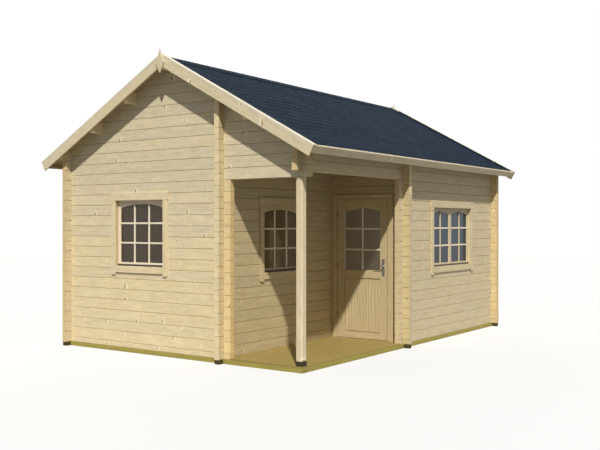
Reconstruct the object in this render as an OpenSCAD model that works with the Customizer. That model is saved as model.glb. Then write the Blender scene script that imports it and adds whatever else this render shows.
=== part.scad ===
// Log cabin with a covered corner porch: stacked machined logs, a gable roof,
// a glazed door that opens into the porch, and three arched windows.

/* [Plan] */
// Width over the outer faces of the two side walls
cabin_w = 4000; // [3600:10:4600]
// Depth over the outer faces of the front and rear walls
cabin_d = 5550; // [5200:10:6600]
// Width of the porch, from its side wall to the outer face of the right wall
porch_w = 1150; // [1120:10:1500]
// Depth of the porch, from the front face to its back wall
porch_d = 2400; // [2100:10:2700]
// Height of the foundation beams, on which the logs stand
base_h = 54; // [40:1:90]
// Width of a foundation beam
beam_w = 100; // [80:1:140]
// Distance by which the foundation stands outside the walls
base_out = 16; // [5:1:30]

/* [Logs] */
// Height of one course of logs
log_h = 140; // [132:1:146]
// Thickness of a log
log_t = 72; // [58:1:80]
// Length of log that stands out past a corner
log_end = 100; // [70:1:140]
// Bevel along each edge of a log
log_bevel = 6; // [3:0.5:8]
// Height of the two tongues on top of a log
tongue_h = 8; // [5:0.5:12]
// Width of one tongue at its root
tongue_w = 12; // [9:0.5:14]
// Distance between the middles of the two tongues
tongue_pitch = 28; // [24:1:30]
// Taper of a tongue's flank
tongue_taper = 1.5; // [0.5:0.1:2]
// Clearance between pieces that seat on each other
seat = 0.4; // [0.3:0.05:0.6]
// Height of the side walls at their outer faces, above the foundation
side_h = 2612; // [2560:1:2700]
// Full courses of the front wall below the porch lintel
head_course = 15; // [14:1:15]

/* [Roof] */
// Slope of the roof in degrees
roof_pitch = 28.7; // [24:0.1:34]
// Overhang of the eaves past the side walls
eave_over = 307; // [200:1:420]
// Overhang of the gables, to the outer faces of the bargeboards
gable_over = 216; // [150:1:320]
// Thickness of the roof boards
deck_t = 20; // [16:1:28]
// Thickness of the shingle layer
shingle_t = 9; // [6:1:14]
// Height of a purlin at its middle
purlin_h = 133; // [110:1:170]
// Radius of the rounded lower corner at the end of a purlin
purlin_round = 50; // [20:1:70]
// Distance of the lower purlins from the side walls' outer faces
low_purlin = 690; // [600:1:900]
// Distance of the upper purlin from the left wall's outer face
high_purlin = 1330; // [1150:1:1500]
// Height of a bargeboard, square to the slope
barge_h = 116; // [90:1:150]
// Thickness of bargeboards and fascias
barge_t = 20; // [16:1:28]
// Width of the strip that caps a bargeboard
cap_w = 76; // [40:1:110]
// Thickness of the strip that caps a bargeboard
cap_t = 24; // [12:1:30]
// Height of an eave fascia, square to the slope
fascia_h = 98; // [70:1:120]
// Height of a fascia's upper edge over the roof boards, square to the slope
fascia_up = 30; // [10:1:33]
// Bevel along the upper outer edge of a fascia
fascia_bevel = 9; // [4:0.5:12]
// Height of a finial board
finial_h = 310; // [240:1:380]
// Width of a finial board
finial_w = 146; // [110:1:180]
// Height of a finial's widest point above its lower tip
finial_low = 137; // [100:1:170]
// Height of a finial's upper tip above the caps
finial_up = 54; // [40:1:90]
// Width of the shingle strip folded over each side of the ridge
ridge_w = 130; // [100:1:180]

/* [Windows] */
// Courses of logs below the window sills
sill_course = 7; // [6:1:7]
// Courses of logs that a window replaces
window_courses = 7; // [6:1:7]
// Width of the wall cut for the front window and the porch window
window_w = 940; // [800:1:1000]
// Width of the wall cut for the double window in the right wall
double_w = 1384; // [1200:1:1500]
// Middle of the front window, right of the middle of the wall from the left face to the porch
front_window_x = -20; // [-200:1:200]
// Middle of the porch window, behind the middle of the porch's side wall
porch_window_y = 15; // [-100:1:100]
// Middle of the double window, behind the middle of the wall from the porch to the rear face
double_window_y = 5; // [-200:1:200]
// Thickness of the frame boards that line a window cut
frame_t = 32; // [24:1:40]
// Width of a sash's stiles
stile_w = 42; // [36:1:60]
// Height of a sash's bottom rail
sash_rail = 44; // [36:1:70]
// Height of a sash's top rail at the crown of its arch
sash_crown = 92; // [80:1:125]
// Rise of the arch in the sashes and in the door
arch_rise = 52; // [35:1:60]
// Thickness of a sash
sash_t = 30; // [24:1:50]
// Depth of the sashes behind the outer face of the logs
sash_in = 40; // [6:1:46]
// Thickness of the window panes and the door pane
glass_t = 5; // [3:0.5:8]

/* [Casings] */
// Width of the boards at the sides of a window
casing_w = 75; // [60:1:90]
// Thickness of the casing boards
casing_t = 20; // [14:1:26]
// Width of casing that lies on the logs
casing_over = 41; // [30:1:50]
// Height of the casing board over a window
casing_head = 102; // [85:1:120]
// Height of the casing board under a window
casing_sill = 86; // [70:1:100]
// Height by which the head board covers the logs over a window
head_over = 20; // [10:1:30]
// Length by which the head board passes the side boards
head_past = 15; // [0:1:30]
// Length by which the side boards pass the sill board
side_past = 32; // [10:1:50]

/* [Door] */
// Courses of logs that the doorway replaces above the half log
door_courses = 14; // [13:1:14]
// Width of the wall cut for the door
door_w = 890; // [860:1:920]
// Distance of the door cut from the porch side wall
door_in = 58; // [50:1:80]
// Thickness of the door frame's boards
jamb_t = 32; // [28:1:45]
// Gap between the leaf and the frame, floor and stops
leaf_gap = 7; // [6:0.5:9]
// Thickness of the leaf
leaf_t = 45; // [40:1:55]
// Width of the leaf's stiles
door_stile = 114; // [100:1:130]
// Height of the leaf's bottom rail
bottom_rail = 88; // [70:1:150]
// Height of the leaf's middle rail
mid_rail = 104; // [80:1:140]
// Height of the middle rail's underside above the leaf's bottom
panel_top = 852; // [750:1:900]
// Height of the leaf's top rail at the crown of its arch
door_crown = 124; // [110:1:160]
// Thickness of the lower panel
panel_t = 32; // [18:1:36]
// Width of casing beside and over the door
door_casing_w = 48; // [40:1:56]
// Width of casing on the logs at the door's closing side
closing_over = 62; // [20:1:80]
// Radius of a hinge barrel
barrel_r = 7; // [6:0.5:8]
// Radius of a hinge pin
pin_r = 3.5; // [3:0.1:4]
// Height of one half of a hinge
barrel_h = 40; // [30:1:50]
// Height of the lowest hinge above the leaf's bottom
low_hinge = 318; // [250:1:400]
// Height of the middle hinge above the leaf's bottom
mid_hinge = 1010; // [900:1:1100]
// Distance of the highest hinge from the leaf's top
top_hinge = 222; // [150:1:300]
// Height of the lever's axis above the leaf's bottom
lever_h = 1025; // [950:1:1080]
// Distance of the lever's axis from the leaf's closing edge
lever_in = 62; // [55:1:70]
// Length of the lever from its axis
lever_l = 118; // [95:1:130]
// Radius of the lever and of its spindle
neck_r = 9; // [7:0.5:10]
// Clearance round the spindle
neck_slack = 0.5; // [0.3:0.1:1]
// Distance of the lever from the face of the leaf
lever_out = 46; // [38:1:56]
// Height of a handle plate
plate_h = 232; // [180:1:260]
// Length of a handle plate below the lever's axis
plate_below = 134; // [100:1:160]
// Width of a handle plate
plate_w = 44; // [38:1:50]
// Thickness of a handle plate
plate_t = 5; // [3:0.5:7]

/* [Porch] */
// Thickness of the porch deck and of the room's floor
floor_t = 20; // [16:1:28]
// Width of the porch post
post_w = 90; // [80:1:110]
// Bevel along each edge of the post
post_bevel = 9; // [4:1:14]
// Height of the metal shoe under the post
shoe_h = 54; // [40:1:80]
// Wall thickness of the metal shoe
shoe_t = 4; // [3:0.5:6]

/* [Hidden] */
$fn = 48;

// Plan positions, measured from the outer faces of the left and front walls
porch_x = cabin_w - porch_w;
door_x = porch_x + door_in;
mid_x = cabin_w / 2;
rear_y = cabin_d - log_t;
big = 20000;

// Heights of the log courses: the side walls start with a full log, the gable walls with half a log
wall_top = base_h + side_h;
function x_bed(n) = base_h + max(0, n - 0.5) * log_h;
function y_bed(n) = base_h + n * log_h;
function roof_z(x) = wall_top + tan(roof_pitch) * min(x, cabin_w - x);
function top_course(z) = ceil((z - base_h) / log_h - 0.5) - 1;
apex_z = roof_z(mid_x);
side_top = top_course(wall_top);
porch_top = top_course(roof_z(porch_x));
gable_top = floor((apex_z - base_h) / log_h + 0.2);
beam_course = head_course + 1;
window_z = [base_h + sill_course * log_h, base_h + (sill_course + window_courses) * log_h];
door_z = base_h + (door_courses + 0.5) * log_h;
floor_z = base_h + floor_t;

// Distances along and square to the slope, from the apex of the roof boards' underside
cap_n = deck_t + shingle_t + 2 * seat + cap_t;
slope_end = (mid_x + eave_over - cap_n * sin(roof_pitch)) / cos(roof_pitch);
function slope_point(s, n) = [
  s * cos(roof_pitch) + n * sin(roof_pitch),
  apex_z - s * sin(roof_pitch) + n * cos(roof_pitch)
];
function ridge_s(n) = -n * tan(roof_pitch);

// Materials as seen
spruce = "#d9c59a";
treated = "#a8a24a";
deck_wood = "#b59d5c";
roof_felt = "#34404c";
blacked = "#26241f";
pane = "#7e7a70";
steel = "#b9b9b4";

// Everything is drawn from the front left corner, then set with the middle of its base at the origin
module placed() {
  translate([-mid_x, -cabin_d / 2, 0]) children();
}

module block(low, high) {
  translate(low) cube(high - low);
}

// One machined log along +X, with tongues on top, grooves below and laps at the crossing walls
tongue_mid = [log_t / 2 - tongue_pitch / 2, log_t / 2 + tongue_pitch / 2];
function groove_edge(z) = [
  for (m = tongue_mid)
    each [
      [m - tongue_w / 2 - seat, z],
      [m - tongue_w / 2 - seat + tongue_taper, z + tongue_h + 2 * seat],
      [m + tongue_w / 2 + seat - tongue_taper, z + tongue_h + 2 * seat],
      [m + tongue_w / 2 + seat, z]
    ]
];
function tongue_edge(z) = [
  for (m = [tongue_mid[1], tongue_mid[0]])
    each [
      [m + tongue_w / 2, z],
      [m + tongue_w / 2 - tongue_taper, z + tongue_h],
      [m - tongue_w / 2 + tongue_taper, z + tongue_h],
      [m - tongue_w / 2, z]
    ]
];

module log_profile(z0, z1, grooved) {
  bottom = grooved ? groove_edge(z0) : [];
  polygon(concat(
    [[0, z0 + log_bevel], [log_bevel, z0]],
    bottom,
    [[log_t - log_bevel, z0], [log_t, z0 + log_bevel], [log_t, z1 - log_bevel], [log_t - log_bevel, z1]],
    tongue_edge(z1),
    [[log_bevel, z1], [0, z1 - log_bevel]]
  ));
}

// laps lists, for each crossing wall, its near face and whether it laps below and above
module lapped_log(u0, u1, z0, z1, grooved, laps) {
  low = grooved ? z0 + seat / 2 : z0;
  high = z1 - seat / 2;
  difference() {
    translate([u0, 0, 0])
      rotate([90, 0, 90])
        linear_extrude(u1 - u0)
          log_profile(low, high, grooved);
    for (lap = laps) {
      if (lap[1])
        block([lap[0] - seat, -1, z0 - 1], [lap[0] + log_t + seat, log_t + 1, z0 + log_h / 4 + seat / 2]);
      if (lap[2])
        block(
          [lap[0] - seat, -1, z1 - log_h / 4 - seat / 2],
          [lap[0] + log_t + seat, log_t + 1, z1 + tongue_h + 1]
        );
    }
  }
}

function in_wall(n, wall) = n >= wall[1] && n <= wall[2];

// walls lists each crossing wall as its near face, first course and last course
module x_log(y, n, x0, x1, walls) {
  laps = [for (w = walls) [w[0], in_wall(n - 1, w), in_wall(n, w)]];
  translate([0, y, 0])
    lapped_log(x0, x1, x_bed(n), x_bed(n + 1), n > 0, laps);
}

module y_log(x, n, y0, y1, walls, top = 0) {
  laps = [for (w = walls) [w[0], in_wall(n, w), in_wall(n + 1, w)]];
  translate([x + log_t, 0, 0])
    rotate([0, 0, 90])
      lapped_log(y0, y1, y_bed(n), max(top, y_bed(n + 1)), n > 0, laps);
}

// The space over the underside of the roof boards, which trims every wall
module over_roof() {
  translate([0, cabin_d + big / 2, -seat])
    rotate([90, 0, 0])
      linear_extrude(cabin_d + big)
        polygon([
          [-big, roof_z(-big)], [mid_x, apex_z], [cabin_w + big, roof_z(cabin_w + big)],
          [cabin_w + big, big], [-big, big]
        ]);
}

// The roof's first and last point between the bargeboards, and the purlins' middles across it
roof_ends = [-gable_over + barge_t + seat, cabin_d + gable_over - barge_t - seat];
purlin_mids = [low_purlin, high_purlin, mid_x, cabin_w - low_purlin];

module purlin_room(grow) {
  for (x = purlin_mids)
    block(
      [x - log_t / 2 - grow, roof_ends[0] - grow, roof_z(x) - purlin_h - grow],
      [x + log_t / 2 + grow, roof_ends[1] + grow, apex_z + log_h]
    );
}

// What is cut from the lower corners of a timber along Y, which runs out to both bargeboards
module rounded_ends(x, z) {
  r = purlin_round;
  for (end = [0, 1])
    translate([x - 1, roof_ends[end], z])
      mirror([0, end, 0])
        difference() {
          translate([0, -1, -1]) cube([log_t + 2, r + 1, r + 1]);
          translate([-1, r, r]) rotate([0, 90, 0]) cylinder(r = r, h = log_t + 4);
        }
}

// The top log of a side wall, cut to the roof's slope
module eave_log(x, walls) {
  difference() {
    y_log(x, side_top, roof_ends[0], roof_ends[1], walls, roof_z(log_t) + log_h / 2);
    rounded_ends(x, y_bed(side_top) + seat / 2);
  }
}

// The top log of the porch side wall runs on to the rear gable and carries the roof there
module porch_purlin_room() {
  block([porch_x - log_t - seat, -big / 2, y_bed(porch_top) - seat / 2], [porch_x + seat, big / 2, big]);
}

module foundation_beams() {
  top = base_h - seat;
  out = base_out;
  inner = beam_w - base_out + seat;
  joists = [for (k = [1:4]) porch_d + beam_w + k * (cabin_d - porch_d - 2 * beam_w) / 5];
  front_joists = [for (k = [1:3]) k * porch_d / 4];
  color(treated) {
    block([-out, -out, 0], [cabin_w + out, beam_w - out, top]);
    block([-out, cabin_d + out - beam_w, 0], [cabin_w + out, cabin_d + out, top]);
    for (x = [-out, cabin_w + out - beam_w])
      block([x, inner, 0], [x + beam_w, cabin_d - inner, top]);
    block([porch_x + out - beam_w, inner, 0], [porch_x + out, porch_d - out - seat, top]);
    block([inner, porch_d - out, 0], [cabin_w - inner, porch_d - out + beam_w, top]);
    for (y = joists)
      block([inner, y, 0], [cabin_w - inner, y + beam_w / 2, top]);
    for (y = front_joists) {
      block([inner, y, 0], [porch_x + out - beam_w - seat, y + beam_w / 2, top]);
      block([porch_x + out + seat, y, 0], [cabin_w - inner, y + beam_w / 2, top]);
    }
  }
}

// Blocks that carry the log ends outside the foundation
module corner_feet() {
  top = base_h - seat;
  near = -log_end + log_bevel;
  gap = base_out + seat;
  color(blacked) {
    for (x = [0, porch_x - log_t])
      block([x, near, 0], [x + log_t, -gap, top]);
    for (x = [0, cabin_w - log_t])
      block([x, cabin_d + gap, 0], [x + log_t, cabin_d - near, top]);
    for (y = [0, rear_y])
      block([near, y, 0], [-gap, y + log_t, top]);
    for (y = [porch_d, rear_y])
      block([cabin_w + gap, y, 0], [cabin_w - near, y + log_t, top]);
  }
}

// Room for the log ends that stand out past the porch corner
module porch_corner_room() {
  past = log_end + 2 * seat;
  block([porch_x - log_t - past, porch_d - seat, 0], [porch_x + past, porch_d + log_t + seat, big]);
  block([porch_x - log_t - seat, porch_d - past, 0], [porch_x + seat, porch_d + log_t + past, big]);
}

module room_floor() {
  inside = log_t + 2 * seat;
  color(spruce)
    difference() {
      union() {
        block([inside, inside, base_h], [porch_x - inside, porch_d + log_t, floor_z]);
        block([inside, porch_d + inside, base_h], [cabin_w - inside, cabin_d - inside, floor_z]);
      }
      porch_corner_room();
    }
}

module porch_floor() {
  color(deck_wood)
    difference() {
      block([porch_x + 2 * seat, -base_out, base_h], [cabin_w + base_out, porch_d - 2 * seat, floor_z]);
      block([porch_x - 1, -seat, 0], [porch_x + log_end + 2 * seat, log_t + seat, big]);
      block([cabin_w - log_t - seat, porch_d - log_end - 2 * seat, 0], [cabin_w + seat, porch_d + 1, big]);
    }
}

module left_wall() {
  walls = [[0, 0, side_top], [rear_y, 0, side_top]];
  color(spruce)
    difference() {
      union() {
        for (n = [0:side_top - 1])
          y_log(0, n, -log_end, cabin_d + log_end, walls);
        eave_log(0, walls);
      }
      over_roof();
    }
}

module right_wall() {
  x = cabin_w - log_t;
  walls = [[porch_d, 0, side_top], [rear_y, 0, side_top]];
  beam_walls = concat(walls, [[0, beam_course, side_top]]);
  color(spruce)
    difference() {
      union() {
        for (n = [0:head_course])
          y_log(x, n, porch_d - log_end, cabin_d + log_end, walls);
        for (n = [beam_course:side_top - 1])
          y_log(x, n, -log_end, cabin_d + log_end, beam_walls);
        eave_log(x, beam_walls);
      }
      over_roof();
      in_right_wall() window_room(double_w, y_window_z);
    }
}

module front_wall() {
  walls = [[0, 0, side_top], [porch_x - log_t, 0, porch_top]];
  color(spruce)
    difference() {
      for (n = [0:head_course])
        x_log(0, n, -log_end, porch_x + log_end, walls);
      in_front_wall() window_room(window_w, x_window_z);
    }
}

// A log of a gable reaches the corners, or stops between the side walls where the roof cuts it
module gable_log(y, n, walls) {
  x0 = n <= side_top ? -log_end : log_t + seat;
  x_log(y, n, x0, cabin_w - x0, walls);
}

module front_gable() {
  walls = [[0, 0, side_top], [porch_x - log_t, 0, porch_top], [cabin_w - log_t, beam_course, side_top]];
  color(spruce)
    difference() {
      for (n = [beam_course:gable_top])
        gable_log(0, n, walls);
      over_roof();
      purlin_room(seat);
      block([porch_x - log_t - seat, -1, x_bed(porch_top + 1) - seat], [porch_x + seat, log_t + 1, big]);
    }
}

rear_walls = [[0, 0, side_top], [cabin_w - log_t, 0, side_top]];

module rear_wall() {
  color(spruce)
    for (n = [0:head_course])
      gable_log(rear_y, n, rear_walls);
}

module rear_gable() {
  color(spruce)
    difference() {
      for (n = [beam_course:gable_top])
        gable_log(rear_y, n, rear_walls);
      over_roof();
      purlin_room(seat);
      porch_purlin_room();
    }
}

module porch_side_wall() {
  x = porch_x - log_t;
  walls = [[0, 0, porch_top], [porch_d, 0, porch_top]];
  last = porch_d + log_t + log_end;
  color(spruce)
    difference() {
      union() {
        for (n = [0:porch_top - 1])
          y_log(x, n, -log_end, last, walls);
        y_log(x, porch_top, -log_end, roof_ends[1], walls, roof_z(x) + log_h / 2);
      }
      over_roof();
      in_porch_wall() window_room(window_w, y_window_z);
    }
}

// The wall behind the porch, beside and over the doorway
module porch_back_logs(n0, n1) {
  walls = [[porch_x - log_t, 0, porch_top], [cabin_w - log_t, 0, side_top]];
  for (n = [n0:n1])
    x_log(
      porch_d, n,
      n <= porch_top ? porch_x - log_t - log_end : porch_x + seat,
      n <= side_top ? cabin_w + log_end : cabin_w - log_t - seat,
      walls
    );
}

module porch_back_wall_left() {
  color(spruce)
    difference() {
      porch_back_logs(0, door_courses);
      block([door_x, 0, 0], [big, cabin_d, big]);
    }
}

module porch_back_wall_right() {
  color(spruce)
    difference() {
      porch_back_logs(0, door_courses);
      block([-big, 0, 0], [door_x + door_w, cabin_d, big]);
    }
}

module porch_back_wall_over() {
  color(spruce)
    difference() {
      porch_back_logs(door_courses + 1, porch_top + 1);
      over_roof();
      purlin_room(seat);
    }
}

module purlins() {
  color(spruce)
    difference() {
      purlin_room(0);
      over_roof();
      for (x = purlin_mids)
        rounded_ends(x - log_t / 2, roof_z(x) - purlin_h);
    }
}

// One side of a roof layer, given as points along and square to the slope; side is -1 left, 1 right
module slope_slab(points, y0, y1, side) {
  outline = [for (p = points) slope_point(p[0], p[1])];
  translate([mid_x, y1, 0])
    mirror([side < 0 ? 1 : 0, 0, 0])
      rotate([90, 0, 0])
        linear_extrude(y1 - y0)
          polygon(outline);
}

function layer(n0, n1, s1, split) = [
  [ridge_s(n0) + split, n0], [s1, n0], [s1, n1], [ridge_s(n1) + split, n1]
];

fascia_out = slope_end;
board_end = fascia_out - barge_t - seat;

module roof_boards(side) {
  color(spruce)
    slope_slab(layer(0, deck_t, board_end, seat), roof_ends[0], roof_ends[1], side);
}
module roof_boards_left() { roof_boards(-1); }
module roof_boards_right() { roof_boards(1); }

shingle_n = [deck_t + seat, deck_t + seat + shingle_t];

module shingles(side) {
  color(roof_felt)
    slope_slab(layer(shingle_n[0], shingle_n[1], board_end, seat), roof_ends[0], roof_ends[1], side);
}
module shingles_left() { shingles(-1); }
module shingles_right() { shingles(1); }

// The strip folded over the ridge, between the bargeboard caps
module ridge_strip() {
  n0 = shingle_n[1] + seat;
  y0 = -gable_over + cap_w + seat;
  color(roof_felt)
    union() {
      for (side = [-1, 1])
        slope_slab(layer(n0, n0 + shingle_t / 2, ridge_w, 0), y0, cabin_d - y0, side);
    }
}

barge_n = [shingle_n[1] - barge_h, shingle_n[1]];

module bargeboard_pair(y) {
  color(spruce)
    for (side = [-1, 1])
      slope_slab(layer(barge_n[0], barge_n[1], fascia_out, seat), y, y + barge_t, side);
}
module front_bargeboards() { bargeboard_pair(-gable_over); }
module rear_bargeboards() { bargeboard_pair(cabin_d + gable_over - barge_t); }

// The caps over both bargeboards of one slope, which also notch the ends of the fascia
cap_low = barge_n[1] + seat;
module cap_pair(side, grow) {
  for (y = [-gable_over, cabin_d + gable_over - cap_w])
    slope_slab(
      layer(cap_low - grow, cap_low + cap_t + grow, fascia_out + grow, seat),
      y - grow, y + cap_w + grow, side
    );
}

module bargeboard_caps() {
  color(spruce)
    for (side = [-1, 1])
      cap_pair(side, 0);
}

// The fascia stands over the shingles and stops them
module eave_fascias() {
  inner = board_end + seat;
  high = deck_t + fascia_up;
  low = high - fascia_h;
  color(spruce)
    for (side = [-1, 1])
      difference() {
        slope_slab(
          [
            [inner, low], [fascia_out, low], [fascia_out, high - fascia_bevel],
            [fascia_out - fascia_bevel, high], [inner, high]
          ],
          roof_ends[0], roof_ends[1], side
        );
        cap_pair(side, seat);
      }
}

// A diamond board with hollow upper flanks, in front of the bargeboards' mitre
module finial_board() {
  steps = 8;
  hollow = 1.35;
  spike = finial_h - finial_low;
  flank = [for (i = [0:steps]) [finial_w / 2 * pow(1 - i / steps, hollow), finial_low + spike * i / steps]];
  left = [for (i = [steps - 1:-1:0]) [-flank[i][0], flank[i][1]]];
  rotate([90, 0, 0])
    linear_extrude(barge_t)
      polygon(concat([[0, 0]], flank, left));
}

module finials() {
  z = slope_point(ridge_s(cap_n), cap_n)[1] + finial_up - finial_h;
  color(spruce) {
    translate([mid_x, -gable_over - seat, z]) finial_board();
    translate([mid_x, cabin_d + gable_over + barge_t + seat, z]) finial_board();
  }
}

// Windows are drawn in the front wall's outer face with their middle at x = 0
x_window_z = window_z + [log_h / 2, log_h / 2];
y_window_z = window_z;

module window_room(w, zz) {
  block([-w / 2, -1, zz[0] - 1], [w / 2, log_t + 1, zz[1]]);
}

module window_frame(w, zz) {
  low = zz[0] - 1 + seat;
  high = zz[1] - seat;
  half = w / 2 - seat;
  color(spruce) {
    for (side = [-1, 1])
      block(
        [side < 0 ? -half : half - frame_t, 0, low],
        [side < 0 ? -half + frame_t : half, log_t, high]
      );
    block([-half + frame_t + seat, 0, low], [half - frame_t - seat, log_t, low + frame_t]);
    block([-half + frame_t + seat, 0, high - frame_t], [half - frame_t - seat, log_t, high]);
  }
}

// Outside of the sash, measured from the window's middle and heights
function sash_half(w) = w / 2 - 2 * seat - frame_t;
function sash_low(zz) = zz[0] + frame_t + seat;
function sash_high(zz) = zz[1] - frame_t - 2 * seat;

// Radius of the arch over an opening of the given half width
function arch_r(half) = (half * half + arch_rise * arch_rise) / (2 * arch_rise);

module arch_disc(half, crown, grow) {
  translate([0, crown - arch_r(half)])
    circle(arch_r(half) + grow, $fn = 128);
}

// Stiles, bottom rail and arched top rail between x = -half and half
module arched_sash(half, low, high) {
  inner = half - stile_w;
  crown = high - sash_crown;
  translate([0, sash_in + sash_t, 0])
    rotate([90, 0, 0])
      linear_extrude(sash_t) {
        for (side = [-1, 1])
          translate([side < 0 ? -half : inner, low]) square([stile_w, high - low]);
        translate([-inner + seat, low]) square([2 * (inner - seat), sash_rail]);
        difference() {
          translate([-inner + seat, crown - arch_rise]) square([2 * (inner - seat), sash_crown + arch_rise]);
          arch_disc(inner, crown, 0);
        }
      }
}

module arched_glass(half, low, high) {
  inner = half - stile_w - seat;
  crown = high - sash_crown;
  translate([0, sash_in + sash_t / 2 + glass_t / 2, 0])
    rotate([90, 0, 0])
      linear_extrude(glass_t)
        intersection() {
          translate([-inner, low + sash_rail + seat]) square([2 * inner, crown - low - sash_rail]);
          arch_disc(half - stile_w, crown, -seat);
        }
}

// Head board over two side boards with bevelled feet, and a sill board between them
module window_casing(w, zz) {
  half = w / 2 + casing_over;
  head_z = zz[1] + head_over - casing_head;
  sill_z = zz[0] + frame_t - casing_sill;
  foot_z = sill_z - side_past;
  foot = casing_w / 5;
  color(spruce)
    translate([0, -seat, 0])
      rotate([90, 0, 0])
        linear_extrude(casing_t) {
          translate([-half - head_past, head_z]) square([2 * (half + head_past), casing_head]);
          for (side = [0, 1])
            mirror([side, 0])
              polygon([
                [half - casing_w, foot_z], [half - foot, foot_z], [half, foot_z + foot],
                [half, head_z - seat], [half - casing_w, head_z - seat]
              ]);
          translate([-half + casing_w + seat, sill_z]) square([2 * (half - casing_w - seat), casing_sill]);
        }
}

module single_sash(w, zz) {
  color(spruce) arched_sash(sash_half(w), sash_low(zz), sash_high(zz));
}

module single_glass(w, zz) {
  color(pane) arched_glass(sash_half(w), sash_low(zz), sash_high(zz));
}

module in_front_wall() {
  translate([porch_x / 2 + front_window_x, 0, 0]) children();
}
module in_porch_wall() {
  translate([porch_x, porch_d / 2 + porch_window_y, 0]) rotate([0, 0, 90]) children();
}
module in_right_wall() {
  translate([cabin_w, (porch_d + cabin_d) / 2 + double_window_y, 0]) rotate([0, 0, 90]) children();
}

module front_window_frame() { in_front_wall() window_frame(window_w, x_window_z); }
module front_window_casing() { in_front_wall() window_casing(window_w, x_window_z); }
module front_window_sash() { in_front_wall() single_sash(window_w, x_window_z); }
module front_window_glass() { in_front_wall() single_glass(window_w, x_window_z); }
module porch_window_frame() { in_porch_wall() window_frame(window_w, y_window_z); }
module porch_window_casing() { in_porch_wall() window_casing(window_w, y_window_z); }
module porch_window_sash() { in_porch_wall() single_sash(window_w, y_window_z); }
module porch_window_glass() { in_porch_wall() single_glass(window_w, y_window_z); }
module side_window_frame() { in_right_wall() window_frame(double_w, y_window_z); }
module side_window_casing() { in_right_wall() window_casing(double_w, y_window_z); }

// The double window has two sashes that meet in the middle
module each_leaf() {
  half = sash_half(double_w) / 2;
  for (side = [-1, 1])
    translate([side * (half + seat / 2), 0, 0]) children();
}
module side_window_sash() {
  color(spruce)
    in_right_wall()
      each_leaf() arched_sash(sash_half(double_w) / 2 - seat, sash_low(y_window_z), sash_high(y_window_z));
}
module side_window_glass() {
  color(pane)
    in_right_wall()
      each_leaf() arched_glass(sash_half(double_w) / 2 - seat, sash_low(y_window_z), sash_high(y_window_z));
}

// The door is drawn from the left edge of its wall cut, in the porch back wall's outer face
leaf_x = [jamb_t + seat + leaf_gap, door_w - jamb_t - seat - leaf_gap];
leaf_z = [floor_z + leaf_gap, door_z - seat - jamb_t - leaf_gap];
barrel_x = leaf_x[0] - leaf_gap / 2;
barrel_y = -barrel_r - 2;
hinge_z = [leaf_z[0] + low_hinge, leaf_z[0] + mid_hinge, leaf_z[1] - top_hinge];
lever_x = leaf_x[1] - lever_in;
lever_z = leaf_z[0] + lever_h;

module in_doorway() {
  translate([door_x, porch_d, 0]) children();
}

module door_frame() {
  stop_y = leaf_t + leaf_gap;
  stop_w = leaf_gap + jamb_t / 4;
  inner = jamb_t + seat;
  head = door_z - seat - jamb_t;
  color(spruce)
    in_doorway() {
      block([seat, 0, floor_z + seat], [inner, log_t, door_z - seat]);
      block([door_w - inner, 0, floor_z + seat], [door_w - seat, log_t, door_z - seat]);
      block([inner + seat, 0, head], [door_w - inner - seat, log_t, door_z - seat]);
      block([seat, 0, base_h], [door_w - seat, log_t, floor_z]);
      block([inner + seat, stop_y, floor_z + seat], [inner + stop_w, log_t, head - seat]);
      block([door_w - inner - stop_w, stop_y, floor_z + seat], [door_w - inner - seat, log_t, head - seat]);
      block(
        [inner + stop_w + seat, stop_y, head - stop_w],
        [door_w - inner - stop_w - seat, log_t, head - seat]
      );
    }
}

module door_casing() {
  out = casing_over / 2;
  past = door_w + closing_over;
  low = floor_z + seat;
  head = door_z - door_casing_w + out;
  inner = door_casing_w - out;
  color(spruce)
    in_doorway()
      translate([0, -casing_t - seat, 0]) {
        block([-out, 0, low], [inner, casing_t, head - seat]);
        block([door_w - inner, 0, low], [past, casing_t, head - seat]);
        block([-out, 0, head], [past, casing_t, door_z + out]);
      }
}

// Lower half of a lift-off hinge on the frame: barrel, pin and a plate on the jamb's edge
module frame_hinges() {
  plate = door_casing_w - casing_over / 2 + 2 * seat;
  color(blacked)
    in_doorway()
      for (z = hinge_z) {
        translate([barrel_x, barrel_y, z - barrel_h]) cylinder(r = barrel_r, h = barrel_h);
        translate([barrel_x, barrel_y, z - barrel_h / 2]) cylinder(r = pin_r, h = 1.3 * barrel_h);
        block([plate, barrel_y + barrel_r / 2, z - barrel_h], [barrel_x, -seat, z]);
      }
}

// Upper half of a lift-off hinge on the leaf: a bored barrel and a plate on the leaf's face
module leaf_hinges() {
  slack = 0.06;
  plate = 3 * barrel_r;
  color(blacked)
    in_doorway()
      for (z = hinge_z)
        difference() {
          union() {
            translate([barrel_x, barrel_y, z + seat]) cylinder(r = barrel_r, h = barrel_h);
            block([barrel_x, barrel_y + barrel_r / 2, z + seat], [leaf_x[0] + plate, -seat, z + barrel_h]);
          }
          translate([barrel_x, barrel_y, z - 1]) cylinder(r = pin_r + slack, h = 0.9 * barrel_h);
        }
}

// The hole for the lever's spindle, from y on
module lever_bore(y, depth) {
  translate([lever_x, y, lever_z]) rotate([-90, 0, 0]) cylinder(r = neck_r + neck_slack, h = depth);
}

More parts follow.
